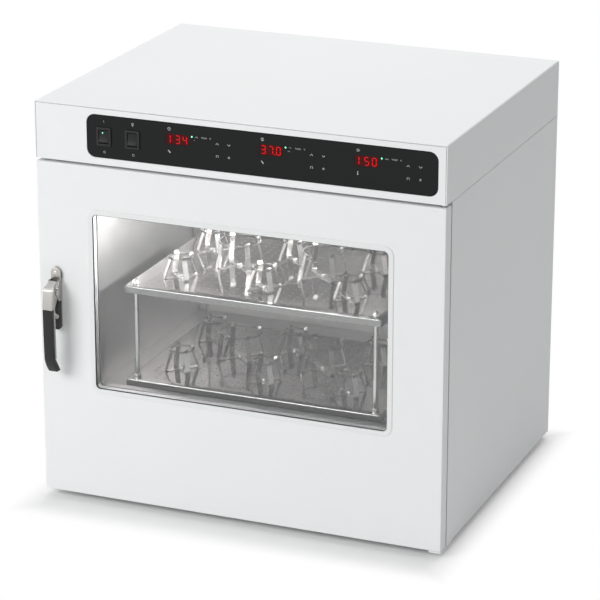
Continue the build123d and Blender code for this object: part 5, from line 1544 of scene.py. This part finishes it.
@dataclass
class ControlPanel:
    """Digits, lamps, unit letters and key symbols on the control panel."""

    fitting: Fitting
    face_y: float = -262.25
    screen_y: float = -261.65
    first_left: float = -118.7
    pitch: float = 159.0
    screen_z: float = 644.5
    digit_width: float = 6.3
    digit_height: float = 12.5
    bar: float = 1.7
    digit_places: tuple[float, ...] = (7.0, 19.7, 32.2)
    readouts: tuple[Readout, ...] = (
        Readout("134", False, ("min", "h"), "MODE", "clock"),
        Readout("370", True, ("°C", "set"), "MODE", "drop"),
        Readout("150", False, ("rpm",), "MODE", "turn"),
    )

    def build(self) -> None:
        """Make digits, lamps and marks."""
        lit, marks, lamps = [], [], []
        for number, readout in enumerate(self.readouts):
            left = self.first_left + number * self.pitch
            lit += self._digits(readout, left)
            marks += self._marks(readout, left)
            lamps.append(self._lamp(left + 44.5, 652.0))
        marks += self._switch_marks()
        digits = Bench.join("display_digits", lit)
        self.fitting.fit(digits, "red_segment", "cabinet", "display_red")
        self.fitting.fit(Bench.join("panel_lamps", lamps), "green_light", "cabinet", "clear_glass")
        self.fitting.fit(Bench.join("panel_marks", marks), "pale_print", "cabinet", "white_enamel")

    def _bar(self, upright: bool) -> bpy.types.Object:
        """One bar of a digit, round the origin.

        Args:
            upright: whether it stands.

        Returns:
            A flat six-cornered bar.
        """
        half = (self.digit_height / 2 if upright else self.digit_width) / 2 - 0.25
        tip = self.bar / 2
        outline = [
            (-half, 0.0), (-half + tip, tip), (half - tip, tip), (half, 0.0), (half - tip, -tip), (-half + tip, -tip)
        ]
        points = [mm(z, 0.0, x) if upright else mm(x, 0.0, z) for x, z in outline]
        return Bench.trace("digit_bar", points, mm(0.0, -0.05, 0.0))

    def _digits(self, readout: Readout, left: float) -> list[bpy.types.Object]:
        """The lit bars of one display.

        Args:
            readout: what it shows.
            left: the display's left edge.

        Returns:
            The bars.
        """
        bars = []
        patterns = {upright: self._bar(upright) for upright in (False, True)}
        for character, place in zip(readout.value, self.digit_places):
            centre = left + place - (self.digit_width / 2 if character == "1" else 0.0)
            for segment in DIGITS[character]:
                across, up, upright = segment.value
                where = mm(
                    centre + across * self.digit_width / 2, self.screen_y, self.screen_z + up * self.digit_height / 2
                )
                bars.append(Bench.copy(patterns[upright], where))
        if readout.point:
            x = left + (self.digit_places[1] + self.digit_places[2]) / 2
            bars.append(self._disc("digit_point", x, self.screen_z - self.digit_height / 2, 0.95, self.screen_y))
        for pattern in patterns.values():
            bpy.data.objects.remove(pattern)
        return bars

    def _lamp(self, x: float, z: float) -> bpy.types.Object:
        """A small round lamp in the panel.

        Args:
            x: its place across.
            z: its height.

        Returns:
            The lamp's lens.
        """
        profile = ((0.0, -0.3), (1.35, -0.3), (1.3, 0.1), (0.8, 0.3), (0.0, 0.4))
        lens = Bench.lathe("panel_lens", [mm(*point) for point in profile], 16)
        Bench.turn(lens, math.pi / 2, "X")
        Bench.shift(lens, mm(x, self.face_y, z))
        return lens

    def _disc(self, name: str, x: float, z: float, radius: float, face: float) -> bpy.types.Object:
        """A small flat disc."""
        steps = [math.tau * i / 12 for i in range(12)]
        points = [mm(x + radius * math.cos(a), face, z + radius * math.sin(a)) for a in steps]
        return Bench.trace(name, points, mm(0.0, -0.05, 0.0))

    def _shape(self, x: float, z: float, outline: Sequence[Flat]) -> bpy.types.Object:
        """A flat printed shape about a point of the panel.

        Args:
            x: the point's place across.
            z: its height.
            outline: corners about the point.

        Returns:
            The shape.
        """
        points = [mm(x + across, self.face_y, z + up) for across, up in outline]
        return Bench.trace("panel_mark", points, mm(0.0, -0.04, 0.0))

    def _ring(self, x: float, z: float, radius: float, line: float) -> bpy.types.Object:
        """A printed ring about a point of the panel.

        Args:
            x: the point's place across.
            z: its height.
            radius: the ring's outer radius.
            line: how wide its line is.

        Returns:
            The ring.
        """
        Bench.clear()
        bpy.ops.mesh.primitive_circle_add(
            vertices=20, radius=radius * MM, fill_type="NGON", location=mm(x, self.face_y - 0.02, z),
            rotation=(math.pi / 2, 0.0, 0.0),
        )
        ring = bpy.context.object
        Bench.edit(ring)
        bpy.ops.mesh.select_all(action="SELECT")
        bpy.ops.mesh.inset(thickness=line * MM)
        bpy.ops.mesh.delete(type="FACE")
        bpy.ops.object.mode_set(mode="OBJECT")
        bpy.ops.object.transform_apply(location=True, rotation=True, scale=True)
        Bench.apply(ring, "SOLIDIFY", thickness=0.04 * MM, offset=0.0)
        return ring

    def _word(self, x: float, z: float, text: str, size: float) -> bpy.types.Object:
        """A printed unit or word, its left end at a point of the panel.

        Args:
            x: the place of its left end.
            z: the height of its middle.
            text: the letters.
            size: the type size in millimetres.

        Returns:
            The letters as a mesh.
        """
        Bench.clear()
        bpy.ops.object.text_add(location=(0.0, 0.0, 0.0))
        word = bpy.context.object
        word.data.body = text
        word.data.size = size * MM
        word.data.align_y = "CENTER"
        word.data.extrude = 0.02 * MM
        word.data.resolution_u = 3
        bpy.ops.object.convert(target="MESH")
        word = bpy.context.object
        word.rotation_euler = (math.pi / 2, 0.0, 0.0)
        word.location = mm(x, self.face_y - 0.02, z)
        bpy.ops.object.transform_apply(location=True, rotation=True, scale=True)
        return word

    def _marks(self, readout: Readout, left: float) -> list[bpy.types.Object]:
        """The printed marks round one display.

        Args:
            readout: what it shows.
            left: the display's left edge.

        Returns:
            The marks.
        """
        up = [(-2.7, -1.3), (0.0, 1.3), (2.7, -1.3), (2.2, -1.9), (0.0, 0.3), (-2.2, -1.9)]
        down = [(x, -z) for x, z in reversed(up)]
        marks = [
            self._word(left + 50.0 - 1.6 * n, 652.0 - 5.4 * n, unit, 3.4 - 0.8 * n)
            for n, unit in enumerate(readout.units)
        ]
        marks.append(self._word(left + 60.8, 651.9, readout.label, 3.3))
        marks.append(self._ring(left + 76.0, 652.2, 1.1, 0.3))
        marks += [self._shape(left + 87.7, 645.2, up), self._shape(left + 107.7, 644.4, down)]
        for dx in (-1.9, 1.4):
            bar = [(-0.35, -1.9), (0.35, -1.9), (0.35, 1.9), (-0.35, 1.9)]
            marks.append(self._shape(left + 88.1 + dx, 624.7, bar))
        bar = [(-1.0, -0.3), (0.6, -0.3), (0.6, 0.3), (-1.0, 0.3)]
        marks.append(self._shape(left + 88.0, 626.3, bar))
        marks += [
            self._ring(left + 107.7, 624.7, 1.7, 0.6),
            self._disc("panel_dot", left + 107.7, 624.7, 0.5, self.face_y),
        ]
        marks += self._sign(readout.sign, left + 5.5, 661.0)
        if readout.sign == "turn":
            marks.append(self._disc("panel_dot", left + 5.3, 626.6, 0.85, self.face_y))
            bar = [(-0.8, -1.9), (0.8, -1.9), (0.8, 1.6), (-0.8, 1.6)]
            marks.append(self._shape(left + 5.3, 623.4, bar))
        else:
            slash = [(-2.4, 1.6), (-1.2, 2.6), (2.4, -1.2), (2.0, -2.4), (0.9, -2.2)]
            marks.append(self._shape(left + 5.3, 624.0, slash))
        return marks

    def _sign(self, sign: str, x: float, z: float) -> list[bpy.types.Object]:
        """The symbol above a display.

        Args:
            sign: clock, drop or turn.
            x: its place across.
            z: its height.

        Returns:
            The symbol's pieces.
        """
        if sign == "clock":
            hands = [(-0.3, -0.3), (1.4, -0.3), (1.4, 0.3), (0.3, 0.3), (0.3, 1.7), (-0.3, 1.7)]
            return [self._ring(x, z, 2.7, 0.55), self._shape(x, z, hands)]
        if sign == "drop":
            stem = [(-0.45, -1.4), (0.45, -1.4), (0.45, 2.8), (-0.45, 2.8)]
            bulb = self._disc("panel_dot", x, z - 1.5, 0.9, self.face_y)
            return [self._ring(x, z, 2.7, 0.5), self._shape(x, z - 0.3, stem), bulb]
        arrow = [(1.3, 0.2), (3.4, 0.2), (2.35, -1.6)]
        return [self._ring(x, z, 2.4, 0.5), self._ring(x, z, 1.0, 0.4), self._shape(x, z, arrow)]

    def _switch_marks(self) -> list[bpy.types.Object]:
        """The marks above and below the two rockers.

        Returns:
            The marks.
        """
        bulb = [(-0.9, -2.9), (0.9, -2.9), (0.9, -1.2), (-0.9, -1.2)]
        return [
            self._shape(-227.0, 661.0, [(-0.28, -1.6), (0.28, -1.6), (0.28, 1.6), (-0.28, 1.6)]),
            self._ring(-227.0, 610.5, 1.9, 0.5),
            self._ring(-176.7, 661.6, 1.9, 0.7), self._shape(-176.7, 661.0, bulb),
            self._ring(-176.2, 610.6, 1.9, 0.5), self._shape(-176.2, 611.2, [(-2.2, 0.4), (-0.9, 0.4), (-1.5, 2.0)]),
        ]


@dataclass
class DoorWindow:
    """The dark seal line round the window glass."""

    fitting: Fitting
    width: float = 509.0
    height: float = 299.0
    centre_x: float = 2.5
    centre_z: float = 354.5
    corner: float = 8.0
    line: float = 1.0
    front_y: float = -262.1
    depth: float = 1.3

    def build(self) -> None:
        """Make the seal."""
        Bench.clear()
        bpy.ops.mesh.primitive_plane_add(
            size=MM, location=mm(self.centre_x, self.front_y, self.centre_z), rotation=(math.pi / 2, 0.0, 0.0)
        )
        seal = bpy.context.object
        seal.name = "glass_seal"
        seal.scale = (self.width, self.height, 1.0)
        bpy.ops.object.transform_apply(location=True, rotation=True, scale=True)
        Bench.pick(seal, "VERT", lambda vertex: True)
        bpy.ops.mesh.bevel(offset=self.corner * MM, segments=8, affect="VERTICES")
        bpy.ops.mesh.select_mode(type="FACE")
        bpy.ops.mesh.select_all(action="SELECT")
        bpy.ops.mesh.inset(thickness=self.line * MM)
        bpy.ops.mesh.delete(type="FACE")
        bpy.ops.mesh.select_all(action="SELECT")
        bpy.ops.mesh.extrude_region_move(TRANSFORM_OT_translate={"value": mm(0.0, self.depth, 0.0)})
        Bench.tidy(seal)
        self.fitting.fit(seal, "black_rubber", "door", "black_rubber")


@dataclass
class CaseScrews:
    """Pan-head screws along the edges of the rear panels."""

    fitting: Fitting
    face_y: float = 299.75
    reach_x: float = 339.0
    radius: float = 4.0
    height: float = 1.8
    side_levels: tuple[float, ...] = (30.0, 165.0, 300.0, 435.0, 570.0, 600.0, 672.0)
    row_levels: tuple[float, ...] = (20.0, 672.0)
    row_places: tuple[float, ...] = (-170.0, 0.0, 170.0)

    def build(self) -> None:
        """Make the screws."""
        head = SpringClamps.screw_head(self.radius, self.height)
        Bench.turn(head, -math.pi / 2, "X")
        places = [(x, z) for x in (-self.reach_x, self.reach_x) for z in self.side_levels]
        places += [(x, z) for x in self.row_places for z in self.row_levels]
        screws = Bench.scatter("case_screws", head, [mm(x, self.face_y, z) for x, z in places])
        self.fitting.fit(screws, "zinc_plate", "cabinet", "zinc_steel")


def wear_packed_solids(finishes: Finishes) -> None:
    """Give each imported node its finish.

    Args:
        finishes: the finishes to take from.
    """
    finishes.dress(
        "white_powder_coat", "outer_shell", "front_frame", "hood_cover", "hood_front_plate", "door_skin",
        "rear_panels", "deck_plate", "hinge_bracket",
    )
    finishes.dress("white_window_band", "window_trim")
    finishes.dress("chamber_steel", "chamber_liner", "heater_coil", "temperature_probe")
    finishes.dress("baffle_steel", "air_baffle")
    finishes.dress("door_inner_steel", "door_inner_panel")
    finishes.dress("mirror_tray_steel", "platform_trays")
    finishes.dress("polished_post_steel", "tray_posts", "post_nuts", "hinge_pins", "latch_pin")
    finishes.dress("bright_spring_steel", "finger_clamps", "clamp_rings", "clamp_screws")
    finishes.dress("zinc_plate", "latch_keeper", "drive_motor", "fan_motor", "shaft_bearings", "carriage_bearings")
    finishes.dress(
        "machined_alloy", "platform_carriage", "drive_chassis", "main_pulley", "motor_pulley", "main_crank",
        "left_idler_crank", "right_idler_crank", "rear_idler_crank", "fan_impeller", "power_supply", "hinge_blocks",
    )
    finishes.dress("dark_cast_iron", "counterweight", "bearing_housings")
    finishes.dress("satin_nickel", "latch_base", "latch_lever")
    finishes.dress("black_panel_film", "control_panel")
    finishes.dress("black_moulding", "switch_housings", "latch_cover", "latch_grip", "power_inlet")
    finishes.dress("spacer_steel", "glass_spacer")
    finishes.dress("black_rocker", "mains_rocker", "lamp_rocker")
    finishes.dress("display_filter", "display_modules")
    finishes.dress("green_lacquer", "control_board")
    finishes.dress("black_rubber", "rubber_feet", "drive_belt", "shaft_seals")
    finishes.dress("grey_seal_rubber", "door_gasket")
    finishes.dress("mineral_board", "insulation", "door_core")
    finishes.dress("sintered_bronze", "hinge_bushes")
    finishes.dress("clear_glass", "window_panes")


def main() -> None:
    """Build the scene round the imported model."""
    logging.basicConfig(level=logging.INFO, format="%(name)s: %(message)s")
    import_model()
    bpy.context.scene.view_settings.view_transform = "Standard"
    finishes = Finishes()
    wear_packed_solids(finishes)
    Studio().build()
    fitting = Fitting(finishes)
    for part in (Trays, SpringClamps, DoorLatch, Rockers, ControlPanel, DoorWindow, CaseScrews):
        part(fitting).build()
        log.info("%s done", part.__name__)


if __name__ == "__main__":
    main()
